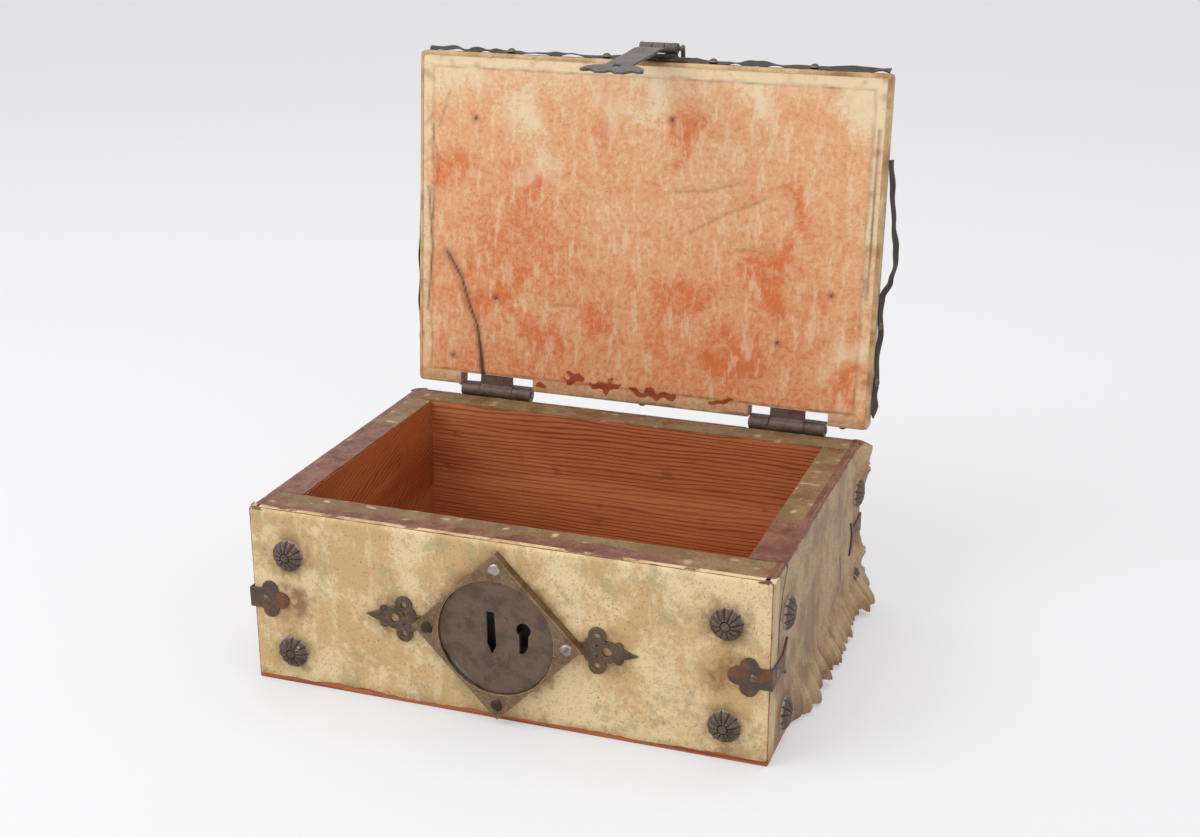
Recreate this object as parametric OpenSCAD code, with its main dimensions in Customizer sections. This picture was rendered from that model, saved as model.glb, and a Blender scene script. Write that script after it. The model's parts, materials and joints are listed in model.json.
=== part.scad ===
// Small oak-brown pine casket covered in vellum, with iron fittings.
// The lid stands open and its hasp lies out over the lid's front edge.
// Origin: middle of the underside. X to the right, Y to the back, Z up.

/* [Chest] */
// Width of the chest over its cover
chest_w = 300; // [270:1:340]
// Depth of the chest, front to back
chest_d = 219; // [200:1:250]
// Height of the chest without its lid
chest_h = 105; // [102:1:130]
// Thickness of the side and back boards with their cover
wall = 21; // [18:0.5:24]
// Thickness of the front board with its cover
front_wall = 26.5; // [25:0.5:32]
// Thickness of the bottom board
bottom_t = 9; // [7:0.5:10]
// Thickness of the vellum
skin = 0.8; // [0.6:0.1:1]

/* [Lid] */
// Width of the lid
lid_w = 299.5; // [290:0.5:310]
// Depth of the lid, shrunk a little across its grain
lid_d = 213.5; // [208:0.5:215]
// Thickness of the lid over both sheets of vellum
lid_t = 12; // [10:0.5:15]
// How far the lid sits to the right of the chest's middle
lid_shift = 2.5; // [0:0.5:4]
// How far the lid's back edge lies in front of the chest's back
lid_set_back = 1.5; // [1:0.25:2]
// Angle that the lid stands open in the photographed pose
lid_open = 95.2; // [90:0.1:100]
// Width of the cover's turned-in border inside the lid
turn_in = 9; // [6:0.5:12]

/* [Lid hinges] */
// Outer radius of a hinge eye
eye_r = 4.4; // [4:0.1:4.8]
// Radius of a lid hinge pin
hinge_pin_r = 2; // [1.6:0.1:2.4]
// Thickness of a hinge strap
strap_t = 1.6; // [1.2:0.1:1.8]
// Width of the middle eye, which is the lid's
lid_eye_w = 22.3; // [18:0.1:26]
// Width of each outer eye, which is the chest's
chest_eye_w = 12.5; // [10:0.1:14]
// Middle of the left hinge
hinge_left_x = -92; // [-100:1:-80]
// Middle of the right hinge
hinge_right_x = 102; // [85:1:105]
// Length of the lid strap under the lining
lid_strap_len = 62; // [45:1:90]
// Length of the chest strap down the back
chest_strap_len = 70; // [50:1:85]
// Depth of the notch that the hinge leaves in the lid
notch_d = 8; // [6:0.5:10]

/* [Lock] */
// Height of the lock's middle above the table
lock_z = 52; // [51:0.5:54]
// Half the diagonal of the square lock frame
frame_half = 49; // [48.4:0.1:49.5]
// How far the lock frame stands proud of the cover
frame_t = 6; // [4.5:0.1:6.2]
// Radius of the round window in the frame
window_r = 33.4; // [32.6:0.1:33.6]
// Depth of the round plate below the frame's face
plate_recess = 1.5; // [1:0.1:2]
// Thickness of the round lock plate
plate_t = 1.5; // [1.2:0.1:1.8]
// Distance of the flat on the round plate from its middle
plate_flat = 29.9; // [29:0.1:31]
// Depth of the lock mortise in the front board
mortise_d = 13.8; // [13:0.1:15]
// Distance of each lock nail from the lock's middle
lock_nail_off = 40.2; // [39.8:0.1:40.5]
// Width of the staple slot
slot_w = 5.4; // [4.8:0.1:6]
// Height of the staple slot
slot_h = 25; // [22:0.5:27]
// Middle of the staple slot
slot_x = -2.7; // [-4:0.1:-2.4]
// Middle of the keyhole
key_x = 15.7; // [15:0.1:16.5]
// Radius of the keyhole's round top
key_r = 4.15; // [3.6:0.05:4.3]
// Height of the bolt
bolt_h = 13; // [12.5:0.1:13.5]
// Thickness of the bolt, front to back
bolt_t = 5; // [4:0.1:6]

/* [Hasp] */
// Place of the hasp to the right of the chest's middle
hasp_x = 6.5; // [0:0.5:8]
// Distance of the hasp's pin in front of the lid's edge
hasp_out = 8; // [7.6:0.1:9]
// Outer radius of the hasp's eyes
hasp_eye_r = 3.2; // [3:0.1:3.4]
// Radius of the hasp's pin
hasp_pin_r = 1.4; // [1.1:0.1:1.6]
// Thickness of the hasp and its leaf
hasp_t = 1.6; // [1.4:0.1:1.8]
// Width of the hasp strap
hasp_w = 16.5; // [14:0.5:18]
// Length of the hasp from its pin to the notch in its tail
hasp_len = 90; // [84:1:94]
// Width across the tips of the tail
tail_w = 38; // [30:1:42]
// Width of the leaf that is nailed on the lid
leaf_w = 47; // [40:1:56]
// Length of the leaf on top of the lid
leaf_len = 26; // [20:1:40]

/* [Mounts on the cover] */
// Radius of a fluted rosette
rosette_r = 9.5; // [8:0.1:10.5]
// Height of a fluted rosette
rosette_h = 4; // [3:0.1:5]
// Number of flutes on a rosette
flutes = 12; // [10:1:14]
// Distance of the front rosettes from the chest's sides
rosette_in = 24; // [22:0.5:28]
// Height of the lower rosettes
rosette_low = 20; // [18:0.5:24]
// Height of the upper rosettes
rosette_high = 79; // [72:0.5:82]
// Thickness of the corner straps
corner_t = 1.2; // [1:0.1:1.6]
// Height of the corner straps' middle
corner_z = 51; // [48:0.5:54]
// Length of a corner strap's front arm
corner_front = 23; // [20:0.5:26]
// Length of a corner strap's side arm
corner_side = 30; // [24:0.5:34]
// Thickness of the pierced finials
finial_t = 1.4; // [1:0.1:2]
// Length of a finial beyond the frame's corner
finial_len = 30; // [26:0.5:32]

/* [Iron edging of the lid] */
// Height of an edge strip's section
strip_h = 4.2; // [3.8:0.1:5]
// Thickness of an edge strip's section
strip_t = 2; // [1.2:0.1:2.4]
// How far the loose right strip bows out
right_bow = 7.5; // [3:0.5:9]

/* [Hidden] */
$fn = 48;

// Clearances
lid_gap = 0.2;
bore_gap = 0.05;
nail_gap = 0.03;
side_gap = 0.35;
cover_lift = 1.5;
over = 1;

// Lines of the chest
front_y = -chest_d/2;
back_y = chest_d/2;
side_x = chest_w/2;
cavity_front = front_y + front_wall;
cavity_back = back_y - wall;
board_top = chest_h - skin;

// Lid as it lies closed
lid_low = chest_h + lid_gap;
lid_high = lid_low + lid_t;
lid_back = back_y - lid_set_back;
lid_front = lid_back - lid_d;
lid_left = lid_shift - lid_w/2;
lid_right = lid_shift + lid_w/2;
hinge_y = back_y + strap_t;
hinge_z = lid_low + skin + strap_t;
hinge_w = lid_eye_w + 2*(side_gap + chest_eye_w);
notch_w = hinge_w + 2.6;
eye_pocket = 0.5;

// Hinge straps and their nails
lid_strap_nails = [22, 50];
chest_strap_nails = [18, 38, 58];
strap_nail_r = 1.2;
strap_nail_head = 2.8;
strap_nail_high = 1.5;
chest_strap_w = 20;
chest_plate_h = 16;

// Lock
frame_front = front_y - frame_t;
plate_front = frame_front + plate_recess;
plate_back = plate_front + plate_t;
plate_flat_turn = 226.5;
frame_rim = 1.2;
mortise_r = window_r + 0.3;
case_r = window_r - 0.2;
case_wall = 1.5;
case_back = front_y + mortise_d;
case_floor = case_back - case_wall;
slot_z = lock_z + 2.3;
key_z = lock_z + 6.6;
key_drop = 14;
key_shank_w = 5;
bolt_front = front_y + 1;
bolt_tip_x = slot_x + slot_w/2 + 1.5;
bolt_drop = 12;
bolt_low = lock_z - bolt_drop;
bolt_end_gap = 1.34;
bolt_end_x = sqrt(pow(case_r - case_wall, 2) - pow(bolt_drop, 2)) - bolt_end_gap;
bolt_play = 0.1;
bolt_nose = 8;
bolt_step = 5.5;
talon_floor = 4;
guide_wall = 1.8;
guide_left_x = [bolt_tip_x + 3, bolt_tip_x + 6.5];
guide_right_x = [key_x + key_r + 0.5, key_x + key_r + 2.5];
spring_t = 0.9;
spring_root_x = bolt_tip_x - 15.5;
spring_drop = 9;
lock_nail_r = 1.2;
lock_nail_head = 3.1;
case_nail_off = case_r - 11.2;
case_nail_high = 1;
case_nail_depth = 9;
tongue_w = 7;
tongue_end = 5.5;
tongue_start = max(lock_nail_off - tongue_end, mortise_r + 0.9);

// Small nails
tack_r = 1;
tack_head = 2.3;
tack_high = 1.2;
tack_depth = 8;
short_tack = 4.5;
leaf_tack = 6;
nail_depth = 11;
lid_nail_depth = 7;
hole_spare = 1;

// Hasp
leaf_z = lid_high + hasp_t/2;
hasp_y = lid_front - hasp_out;
hasp_eye_w = 7.5;
leaf_eye_w = 8;
leaf_lip = 2.9;
pin_left = hasp_eye_w/2 + side_gap + leaf_eye_w + 0.5;
pin_bend_x = hasp_eye_w/2 + side_gap + leaf_eye_w + side_gap + hasp_pin_r;
pin_rise = hasp_t/2 + tack_high + 0.4 + hasp_pin_r;
pin_tail = 32;
pin_turn = 12;
leaf_nail_y = [lid_front + 8, lid_front + leaf_len - 7];
leaf_nail_x = 16;
hasp_arch = 1.6;
hasp_lean = 8.2;
hasp_steps = 12;

// Cover mounts
side_rosette_front = front_y + 31;
side_rosette_back = back_y - 12;
corner_nail_in = 9.5;
corner_side_nail = 15;
corner_band = 12;
board_nail_r = 1.4;
board_nail_head = 3;
rosette_shank_r = 1.2;
rosette_shank = 11;

// Edge strips, as places along the lid measured from its front edge
strip_low = lid_high - strip_h;
left_strip = [92, lid_d - 6];
right_strip = [50, lid_d - 6];
front_strip_nails = [-89, -26, 42, 104];
side_strip_nails = [150, 185];
back_strip_nails = [-120, 5, 135];

// Frames of reference: local Z points out of the face, local Y up
module on_front(x, z, out = 0) {
    translate([x, front_y - out, z]) rotate([90, 0, 0]) children();
}

module on_back(x, z, out = 0) {
    translate([x, back_y + out, z]) rotate([90, 0, 180]) children();
}

module on_right(y, z, out = 0) {
    translate([side_x + out, y, z]) rotate([90, 0, 90]) children();
}

module on_left(y, z, out = 0) {
    translate([-side_x - out, y, z]) rotate([90, 0, -90]) children();
}

// The lid's pieces are drawn closed and swung open round the hinge line
module on_lid() {
    translate([0, hinge_y, hinge_z])
        rotate([-lid_open, 0, 0])
            translate([0, -hinge_y, -hinge_z])
                children();
}

// A box between two corners
module block(low, high) {
    translate(low) cube(high - low);
}

// A low dome of radius r and height h on the plane Z = 0
module dome(r, h) {
    ball = (r*r + h*h)/(2*h);
    intersection() {
        translate([0, 0, h - ball]) sphere(r = ball);
        cylinder(r = r + over, h = h + over);
    }
}

// Domed nail with its head on the plane Z = 0
module nail(head, high, shank_r, shank) {
    dome(head, high);
    translate([0, 0, -shank]) cylinder(r = shank_r, h = shank + 0.01);
}

// Hole for such a nail
module nail_hole(shank_r, shank) {
    translate([0, 0, -shank - nail_gap])
        cylinder(r = shank_r + nail_gap, h = shank + over);
}

// Flat-headed nail driven flush, pointing down from the plane Z = 0
module flush_nail(length) {
    translate([0, 0, -over]) cylinder(r = board_nail_head, h = over);
    translate([0, 0, -length]) cylinder(r = board_nail_r, h = length - over + 0.01);
}

module flush_nail_hole(length) {
    translate([0, 0, -over]) cylinder(r = board_nail_head + nail_gap, h = 2*over);
    translate([0, 0, -length - nail_gap]) cylinder(r = board_nail_r + nail_gap, h = length);
}

// Places of the nails that hold the boards
corner_nail_z = [28, 68];
corner_nail_len = front_wall + 18;
bottom_nail_len = bottom_t + 22;
bottom_lines_x = [-110, -40, 40, 110];
bottom_lines_y = [-35, 45];
cavity_mid = (cavity_front + cavity_back)/2;

module at_corner_nails() {
    for (side = [-1, 1], z = corner_nail_z) {
        translate([side*(side_x - wall/2), front_y + skin, z]) rotate([90, 0, 0]) children();
        translate([side*(side_x - wall/2), back_y - skin, z]) rotate([-90, 0, 0]) children();
    }
}

module at_bottom_nails() {
    for (x = bottom_lines_x) {
        translate([x, front_y + front_wall/2, 0]) rotate([180, 0, 0]) children();
        translate([x, back_y - wall/2, 0]) rotate([180, 0, 0]) children();
    }
    for (side = [-1, 1], y = bottom_lines_y)
        translate([side*(side_x - wall/2), y, 0]) rotate([180, 0, 0]) children();
}

module corner_nails() {
    color("dimgray") at_corner_nails() flush_nail(corner_nail_len);
}

module bottom_nails() {
    color("dimgray") at_bottom_nails() flush_nail(bottom_nail_len);
}

// Places on the cover
module at_front_rosettes() {
    for (side = [-1, 1], z = [rosette_low, rosette_high])
        on_front(side*(side_x - rosette_in), z) children();
}

module at_right_rosettes() {
    for (y = [side_rosette_front, side_rosette_back], z = [rosette_low - 4, rosette_high - 4])
        on_right(y, z) children();
}

module at_left_rosettes() {
    for (y = [side_rosette_front, side_rosette_back], z = [rosette_low - 4, rosette_high - 4])
        on_left(y, z) children();
}

module at_strap_nails(out = 0) {
    for (side = [-1, 1]) {
        on_front(side*(side_x - corner_nail_in), corner_z, out) children();
        on_back(side*(side_x - corner_nail_in), corner_z, out) children();
    }
    for (end = [-1, 1]) {
        on_right(end*(chest_d/2 - corner_side_nail), corner_z, out) children();
        on_left(end*(chest_d/2 - corner_side_nail), corner_z, out) children();
    }
}

module at_lock_nails(out = 0) {
    for (a = [0:90:270])
        on_front(lock_nail_off*cos(a), lock_z + lock_nail_off*sin(a), out) children();
}

module at_hinge_nails_chest(out = 0) {
    for (x = [hinge_left_x, hinge_right_x], d = chest_strap_nails)
        on_back(x, chest_h - d, out) children();
}

// Cuts that reach into the boards of the chest
module fixing_holes() {
    at_front_rosettes() nail_hole(rosette_shank_r, rosette_shank);
    at_right_rosettes() nail_hole(rosette_shank_r, rosette_shank);
    at_left_rosettes() nail_hole(rosette_shank_r, rosette_shank);
    at_strap_nails() nail_hole(tack_r, tack_depth + hole_spare);
    at_lock_nails() nail_hole(lock_nail_r, nail_depth + hole_spare);
    at_hinge_nails_chest() nail_hole(strap_nail_r, nail_depth + hole_spare);
}

// Pockets for the hinge eyes in the back rim
module eye_pockets() {
    for (x = [hinge_left_x, hinge_right_x])
        block([x - hinge_w/2 - 0.3, hinge_y - eye_r - eye_pocket, hinge_z - eye_r - eye_pocket],
              [x + hinge_w/2 + 0.3, back_y + over, chest_h + over]);
}

// Round mortise for the lock
module lock_mortise() {
    translate([0, front_y + mortise_d, lock_z])
        rotate([90, 0, 0]) cylinder(r = mortise_r, h = mortise_d + over);
}

// Carcase boards
module front_board() {
    color("sienna") difference() {
        block([-side_x + skin, front_y + skin, bottom_t], [side_x - skin, cavity_front, board_top]);
        lock_mortise();
        fixing_holes();
        at_corner_nails() flush_nail_hole(corner_nail_len);
        at_bottom_nails() flush_nail_hole(bottom_nail_len);
        at_case_nails() nail_hole(tack_r, case_wall + 9);
    }
}

module back_board() {
    color("sienna") difference() {
        block([-side_x + skin, cavity_back, bottom_t], [side_x - skin, back_y - skin, board_top]);
        eye_pockets();
        fixing_holes();
        at_corner_nails() flush_nail_hole(corner_nail_len);
        at_bottom_nails() flush_nail_hole(bottom_nail_len);
    }
}

module side_board(low_x, high_x) {
    color("peru") difference() {
        block([low_x, cavity_front, bottom_t], [high_x, cavity_back, board_top]);
        fixing_holes();
        at_corner_nails() flush_nail_hole(corner_nail_len);
        at_bottom_nails() flush_nail_hole(bottom_nail_len);
    }
}

module left_board() {
    side_board(-side_x + skin, -side_x + wall);
}

module right_board() {
    side_board(side_x - wall, side_x - skin);
}

module bottom_board() {
    color("peru") difference() {
        block([-side_x + skin, front_y + skin, 0], [side_x - skin, back_y - skin, bottom_t]);
        at_bottom_nails() flush_nail_hole(bottom_nail_len);
    }
}

// Vellum on the chest: each sheet turns in over the rim
module cover_front() {
    color("wheat") difference() {
        union() {
            block([-side_x, front_y, cover_lift], [side_x, front_y + skin, chest_h]);
            block([-side_x, front_y, board_top], [side_x, cavity_front, chest_h]);
        }
        lock_mortise();
        fixing_holes();
    }
}

module cover_back() {
    color("burlywood") difference() {
        union() {
            block([-side_x, back_y - skin, cover_lift], [side_x, back_y, chest_h]);
            block([-side_x, cavity_back, board_top], [side_x, back_y, chest_h]);
        }
        eye_pockets();
        fixing_holes();
    }
}

module side_cover(side) {
    color("tan") difference() {
        union() {
            block([min(side*side_x, side*(side_x - skin)), front_y + skin, cover_lift],
                  [max(side*side_x, side*(side_x - skin)), back_y - skin, board_top]);
            block([min(side*side_x, side*(side_x - wall)), cavity_front, board_top],
                  [max(side*side_x, side*(side_x - wall)), cavity_back, chest_h]);
        }
        fixing_holes();
    }
}

module cover_left() {
    side_cover(-1);
}

module cover_right() {
    side_cover(1);
}

// Lock
module finial_tongue(grow = 0) {
    translate([tongue_start - grow, -tongue_w/2 - grow])
        square([frame_half - tongue_start + 4, tongue_w + 2*grow]);
}

module lock_frame() {
    color("saddlebrown") difference() {
        union() {
            on_front(0, lock_z) rotate([0, 0, 45])
                translate([-frame_half/sqrt(2), -frame_half/sqrt(2), 0])
                    cube([frame_half*sqrt(2), frame_half*sqrt(2), frame_t]);
            on_front(0, lock_z) cylinder(r = window_r + frame_rim, h = frame_t);
        }
        on_front(0, lock_z, -over) cylinder(r = window_r, h = frame_t + 2*over);
        at_lock_nails(frame_t) nail_hole(lock_nail_r, frame_t + over);
        for (turn = [0, 180])
            on_front(0, lock_z, -over) rotate([0, 0, turn])
                linear_extrude(over + finial_t + nail_gap) finial_tongue(0.05);
    }
}

module keyhole_shape() {
    circle(r = key_r);
    polygon([[-key_shank_w/2, 0], [-key_shank_w/2, -key_drop], [0, -key_drop],
             [key_shank_w/2, -key_drop + 4], [key_shank_w/2 + 0.5, 0]]);
}

// Staple slot with its lower end worn to a point
module slot_shape() {
    polygon([[-slot_w/2, slot_h/2], [slot_w/2 - 1, slot_h/2], [slot_w/2, -slot_h/2 + 5],
             [0, -slot_h/2], [-slot_w/2, -slot_h/2 + 6]]);
}

module lock_plate() {
    color("dimgray") difference() {
        intersection() {
            on_front(0, lock_z, -(plate_back - front_y)) cylinder(r = window_r - 0.2, h = plate_t);
            on_front(0, lock_z, -(plate_back - front_y)) rotate([0, 0, plate_flat_turn])
                translate([-2*window_r, -2*window_r, -over])
                    cube([2*window_r + plate_flat, 4*window_r, plate_t + 2*over]);
        }
        on_front(slot_x, slot_z, -over) linear_extrude(frame_t + 2*over) slot_shape();
        on_front(key_x, key_z, -over) linear_extrude(frame_t + 2*over) keyhole_shape();
    }
}

// Cup that carries the lock's works behind the plate
module lock_case() {
    color("slategray") difference() {
        translate([0, case_back, lock_z]) rotate([90, 0, 0])
            cylinder(r = case_r, h = case_back - plate_back);
        translate([0, case_floor, lock_z]) rotate([90, 0, 0])
            cylinder(r = case_r - case_wall, h = case_floor - plate_back + over);
        at_case_nails() nail_hole(tack_r, case_wall + over);
    }
    color("slategray") intersection() {
        translate([0, plate_back + case_wall, lock_z]) rotate([90, 0, 0])
            cylinder(r = case_r - case_wall/2, h = case_wall);
        on_front(0, lock_z, -(plate_back + case_wall - front_y)) rotate([0, 0, plate_flat_turn])
            translate([plate_flat - case_wall, -2*window_r, -over])
                cube([2*window_r, 4*window_r, case_wall + 2*over]);
    }
}

module at_case_nails() {
    for (a = [90, 180, 270])
        translate([case_nail_off*cos(a), case_floor, lock_z + case_nail_off*sin(a)])
            rotate([90, 0, 0]) children();
}

module case_nails() {
    color("dimgray") at_case_nails() nail(tack_head, case_nail_high, tack_r, case_wall + case_nail_depth);
}

// Sliding bolt: its nose crosses the staple slot, and the key works in the notch on top
module lock_bolt() {
    color("darkslategray") difference() {
        block([bolt_tip_x, bolt_front, bolt_low], [bolt_end_x, bolt_front + bolt_t, bolt_low + bolt_h]);
        block([key_x - key_shank_w, bolt_front - over, bolt_low + talon_floor],
              [key_x + key_r, bolt_front + bolt_t + over, bolt_low + bolt_h + over]);
        block([bolt_tip_x - over, bolt_front - over, bolt_low - over],
              [bolt_tip_x + bolt_nose, bolt_front + bolt_t + over, bolt_low + bolt_step]);
    }
}

module bolt_guide(xs) {
    difference() {
        block([xs[0], bolt_front - guide_wall, bolt_low - guide_wall],
              [xs[1], case_floor, bolt_low + bolt_h + guide_wall]);
        block([xs[0] - over, bolt_front - bolt_play, bolt_low - bolt_play],
              [xs[1] + over, bolt_front + bolt_t + bolt_play, bolt_low + bolt_h + bolt_play]);
    }
}

module bolt_guides() {
    color("gray") {
        bolt_guide(guide_left_x);
        bolt_guide(guide_right_x);
    }
}

// Flat spring that presses up on the bolt between its guides
module lock_spring() {
    heel = guide_left_x[1] + 1;
    toe = heel + 5;
    top = bolt_low - bolt_play;
    root_z = bolt_low - spring_drop;
    heel_z = bolt_low - spring_drop/2;
    color("steelblue") {
        translate([0, bolt_front + bolt_t - 0.5, 0]) rotate([90, 0, 0])
            linear_extrude(bolt_t - 1)
                polygon([[spring_root_x, root_z], [heel, heel_z], [toe, top - spring_t],
                         [toe + 5, top - spring_t], [toe + 5, top], [toe, top],
                         [heel, heel_z + spring_t], [spring_root_x, root_z + spring_t]]);
        block([spring_root_x, bolt_front + 0.5, root_z],
              [spring_root_x + 4, case_floor, root_z + 4]);
    }
}

module lock_nails() {
    color("darkgoldenrod") at_lock_nails(frame_t)
        nail(lock_nail_head, tack_high, lock_nail_r, frame_t + nail_depth);
}

// Pierced finial: two scrolls, a heart and a point, on a tongue under the frame
module finial_shape() {
    u = finial_len/30;
    difference() {
        union() {
            finial_tongue();
            translate([frame_half - 2*u, 0]) {
                for (side = [-1, 1]) {
                    translate([9*u, side*8.6*u]) circle(r = 5*u);
                    translate([5*u, side*3.5*u]) circle(r = 3.4*u);
                    translate([21*u, side*4*u]) circle(r = 2.6*u);
                }
                translate([15*u, 0]) circle(r = 6.4*u);
                polygon(u*[[15, -5.5], [23, -3.4], [32, 0], [23, 3.4], [15, 5.5]]);
                translate([0, -2.5*u]) square([14*u, 5*u]);
            }
        }
        for (side = [-1, 1])
            translate([frame_half + 7*u, side*8.6*u]) circle(r = 1.7*u);
        translate([frame_half + 12.5*u, 0]) circle(r = 2.6*u);
        translate([lock_nail_off, 0]) circle(r = lock_nail_r + nail_gap);
    }
}

module finial_left() {
    color("dimgray") on_front(0, lock_z) rotate([0, 0, 180]) linear_extrude(finial_t) finial_shape();
}

module finial_right() {
    color("dimgray") on_front(0, lock_z) linear_extrude(finial_t) finial_shape();
}

// Fluted rosette nails
module rosette() {
    points = 4*flutes;
    intersection() {
        dome(rosette_r, rosette_h);
        linear_extrude(rosette_h + over)
            polygon([for (i = [0:points - 1])
                let(a = i*360/points, r = rosette_r - 0.5 + 0.45*cos(flutes*a)) r*[cos(a), sin(a)]]);
    }
    dome(2.6, rosette_h + 0.6);
    translate([0, 0, -rosette_shank]) cylinder(r = rosette_shank_r, h = rosette_shank + 0.01);
}

module rosettes_front() {
    color("darkslategray") at_front_rosettes() rosette();
}

module rosettes_left() {
    color("darkslategray") at_left_rosettes() rosette();
}

module rosettes_right() {
    color("darkslategray") at_right_rosettes() rosette();
}

// Corner straps: a three-lobed arm on the front or back, a fishtail arm on the side
module lobed_arm() {
    lobe = corner_front*5/23;
    difference() {
        union() {
            translate([0, -corner_band/2]) square([corner_front - 1.6*lobe, corner_band]);
            translate([corner_front - lobe, 0]) circle(r = lobe);
            for (side = [-1, 1])
                translate([corner_front - 2.3*lobe, side*corner_band/2]) circle(r = lobe);
        }
        translate([corner_nail_in, 0]) circle(r = tack_r + nail_gap);
    }
}

module fishtail_arm() {
    u = corner_side/30;
    difference() {
        polygon([[0, -corner_band/2], u*[21, -4.5], u*[30, -11], u*[24, 0], u*[30, 11], u*[21, 4.5],
                 [0, corner_band/2]]);
        translate([corner_side_nail, 0]) circle(r = tack_r + nail_gap);
    }
}

// The strap for the front right corner; mirrors give the others
module corner_strap() {
    translate([side_x, front_y, corner_z]) rotate([90, 0, 0]) mirror([1, 0, 0])
        linear_extrude(corner_t) lobed_arm();
    translate([side_x, front_y, corner_z]) rotate([90, 0, 90])
        linear_extrude(corner_t) fishtail_arm();
    block([side_x - 0.01, front_y - corner_t, corner_z - corner_band/2],
          [side_x + corner_t, front_y + 0.01, corner_z + corner_band/2]);
}

module corner_strap_front_right() {
    color("saddlebrown") corner_strap();
}

module corner_strap_front_left() {
    color("saddlebrown") mirror([1, 0, 0]) corner_strap();
}

module corner_strap_back_right() {
    color("saddlebrown") mirror([0, 1, 0]) corner_strap();
}

module corner_strap_back_left() {
    color("saddlebrown") mirror([0, 1, 0]) mirror([1, 0, 0]) corner_strap();
}

module corner_strap_nails() {
    color("dimgray") at_strap_nails(corner_t) nail(tack_head, tack_high + 0.2, tack_r, corner_t + tack_depth);
}

// Lid hinges
module eye(x0, x1, r, bore) {
    translate([x0, 0, 0]) rotate([0, 90, 0]) difference() {
        cylinder(r = r, h = x1 - x0);
        translate([0, 0, -over]) cylinder(r = bore, h = x1 - x0 + 2*over);
    }
}

module hinge_strap_chest(x) {
    mid = lid_eye_w/2 + side_gap;
    edge = hinge_w/2;
    color("dimgray") {
        for (side = [-1, 1])
            translate([x, hinge_y, hinge_z])
                eye(min(side*mid, side*edge), max(side*mid, side*edge), eye_r, hinge_pin_r + bore_gap);
        difference() {
            union() {
                block([x - edge, back_y, chest_h - chest_plate_h], [x + edge, back_y + strap_t, hinge_z]);
                block([x - chest_strap_w/2, back_y, chest_h - chest_strap_len + chest_strap_w/2],
                      [x + chest_strap_w/2, back_y + strap_t, chest_h - chest_plate_h + over]);
                translate([x, back_y + strap_t, chest_h - chest_strap_len + chest_strap_w/2])
                    rotate([90, 0, 0]) cylinder(r = chest_strap_w/2, h = strap_t);
            }
            block([x - mid, back_y - over, hinge_z - eye_r - 2],
                  [x + mid, back_y + strap_t + over, hinge_z + over]);
            translate([x, hinge_y, hinge_z])
                rotate([0, 90, 0]) translate([0, 0, -edge - over])
                    cylinder(r = hinge_pin_r + bore_gap, h = 2*edge + 2*over);
            at_hinge_nails_chest(strap_t) nail_hole(strap_nail_r, strap_t + over);
        }
    }
}

module hinge_strap_chest_left() {
    hinge_strap_chest(hinge_left_x);
}

module hinge_strap_chest_right() {
    hinge_strap_chest(hinge_right_x);
}

module hinge_pin(x) {
    length = hinge_w + 1.6;
    color("gray") translate([x - length/2, hinge_y, hinge_z])
        rotate([0, 90, 0]) cylinder(r = hinge_pin_r, h = length);
}

module hinge_pin_left() {
    hinge_pin(hinge_left_x);
}

module hinge_pin_right() {
    hinge_pin(hinge_right_x);
}

module hinge_nails_chest() {
    color("dimgray") at_hinge_nails_chest(strap_t)
        nail(strap_nail_head, strap_nail_high, strap_nail_r, strap_t + nail_depth);
}

// The lid strap runs under the lining and turns into the middle eye
module lid_strap(x, grow = 0) {
    block([x - lid_eye_w/2 - grow, lid_back - lid_strap_len - grow, hinge_z - strap_t],
          [x + lid_eye_w/2 + grow, hinge_y, hinge_z + (grow > 0 ? nail_gap : 0)]);
}

module at_lid_strap_nails() {
    for (x = [hinge_left_x, hinge_right_x], d = lid_strap_nails)
        translate([x, lid_back - d, hinge_z - strap_t]) rotate([180, 0, 0]) children();
}

// Strap nails are driven flush from the inside
module lid_strap_nail(grow = 0) {
    depth = strap_t + lid_nail_depth + grow;
    translate([0, 0, -depth]) cylinder(r = strap_nail_r + grow, h = depth);
}

module hinge_strap_lid(x) {
    color("gray") on_lid() difference() {
        union() {
            lid_strap(x);
            translate([x - lid_eye_w/2, hinge_y, hinge_z]) rotate([0, 90, 0])
                cylinder(r = eye_r, h = lid_eye_w);
        }
        translate([x - lid_eye_w/2 - over, hinge_y, hinge_z]) rotate([0, 90, 0])
            cylinder(r = hinge_pin_r + bore_gap, h = lid_eye_w + 2*over);
        at_lid_strap_nails() translate([0, 0, over]) lid_strap_nail(nail_gap);
        at_lid_strap_nails() lid_strap_nail(nail_gap);
    }
}

module hinge_strap_lid_left() {
    hinge_strap_lid(hinge_left_x);
}

module hinge_strap_lid_right() {
    hinge_strap_lid(hinge_right_x);
}

module hinge_nails_lid() {
    color("dimgray") on_lid() at_lid_strap_nails() lid_strap_nail();
}

// Lid
module lid_notches() {
    for (x = [hinge_left_x, hinge_right_x])
        block([x - notch_w/2, lid_back - notch_d, lid_low - over],
              [x + notch_w/2, lid_back + over, lid_high + over]);
}

module at_front_strip_nails() {
    for (x = front_strip_nails)
        translate([x, lid_front - strip_t, strip_low + strip_h/2]) rotate([90, 0, 0]) children();
}

module at_back_strip_nails() {
    for (x = back_strip_nails)
        translate([x, lid_back + strip_t, strip_low + strip_h/2]) rotate([-90, 0, 0]) children();
}

module at_side_strip_nails() {
    for (y = side_strip_nails) {
        translate([lid_left - strip_t, lid_front + y, strip_low + strip_h/2])
            rotate([0, -90, 0]) children();
        translate([lid_right + strip_t, lid_front + y, strip_low + strip_h/2])
            rotate([0, 90, 0]) children();
    }
}

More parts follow.
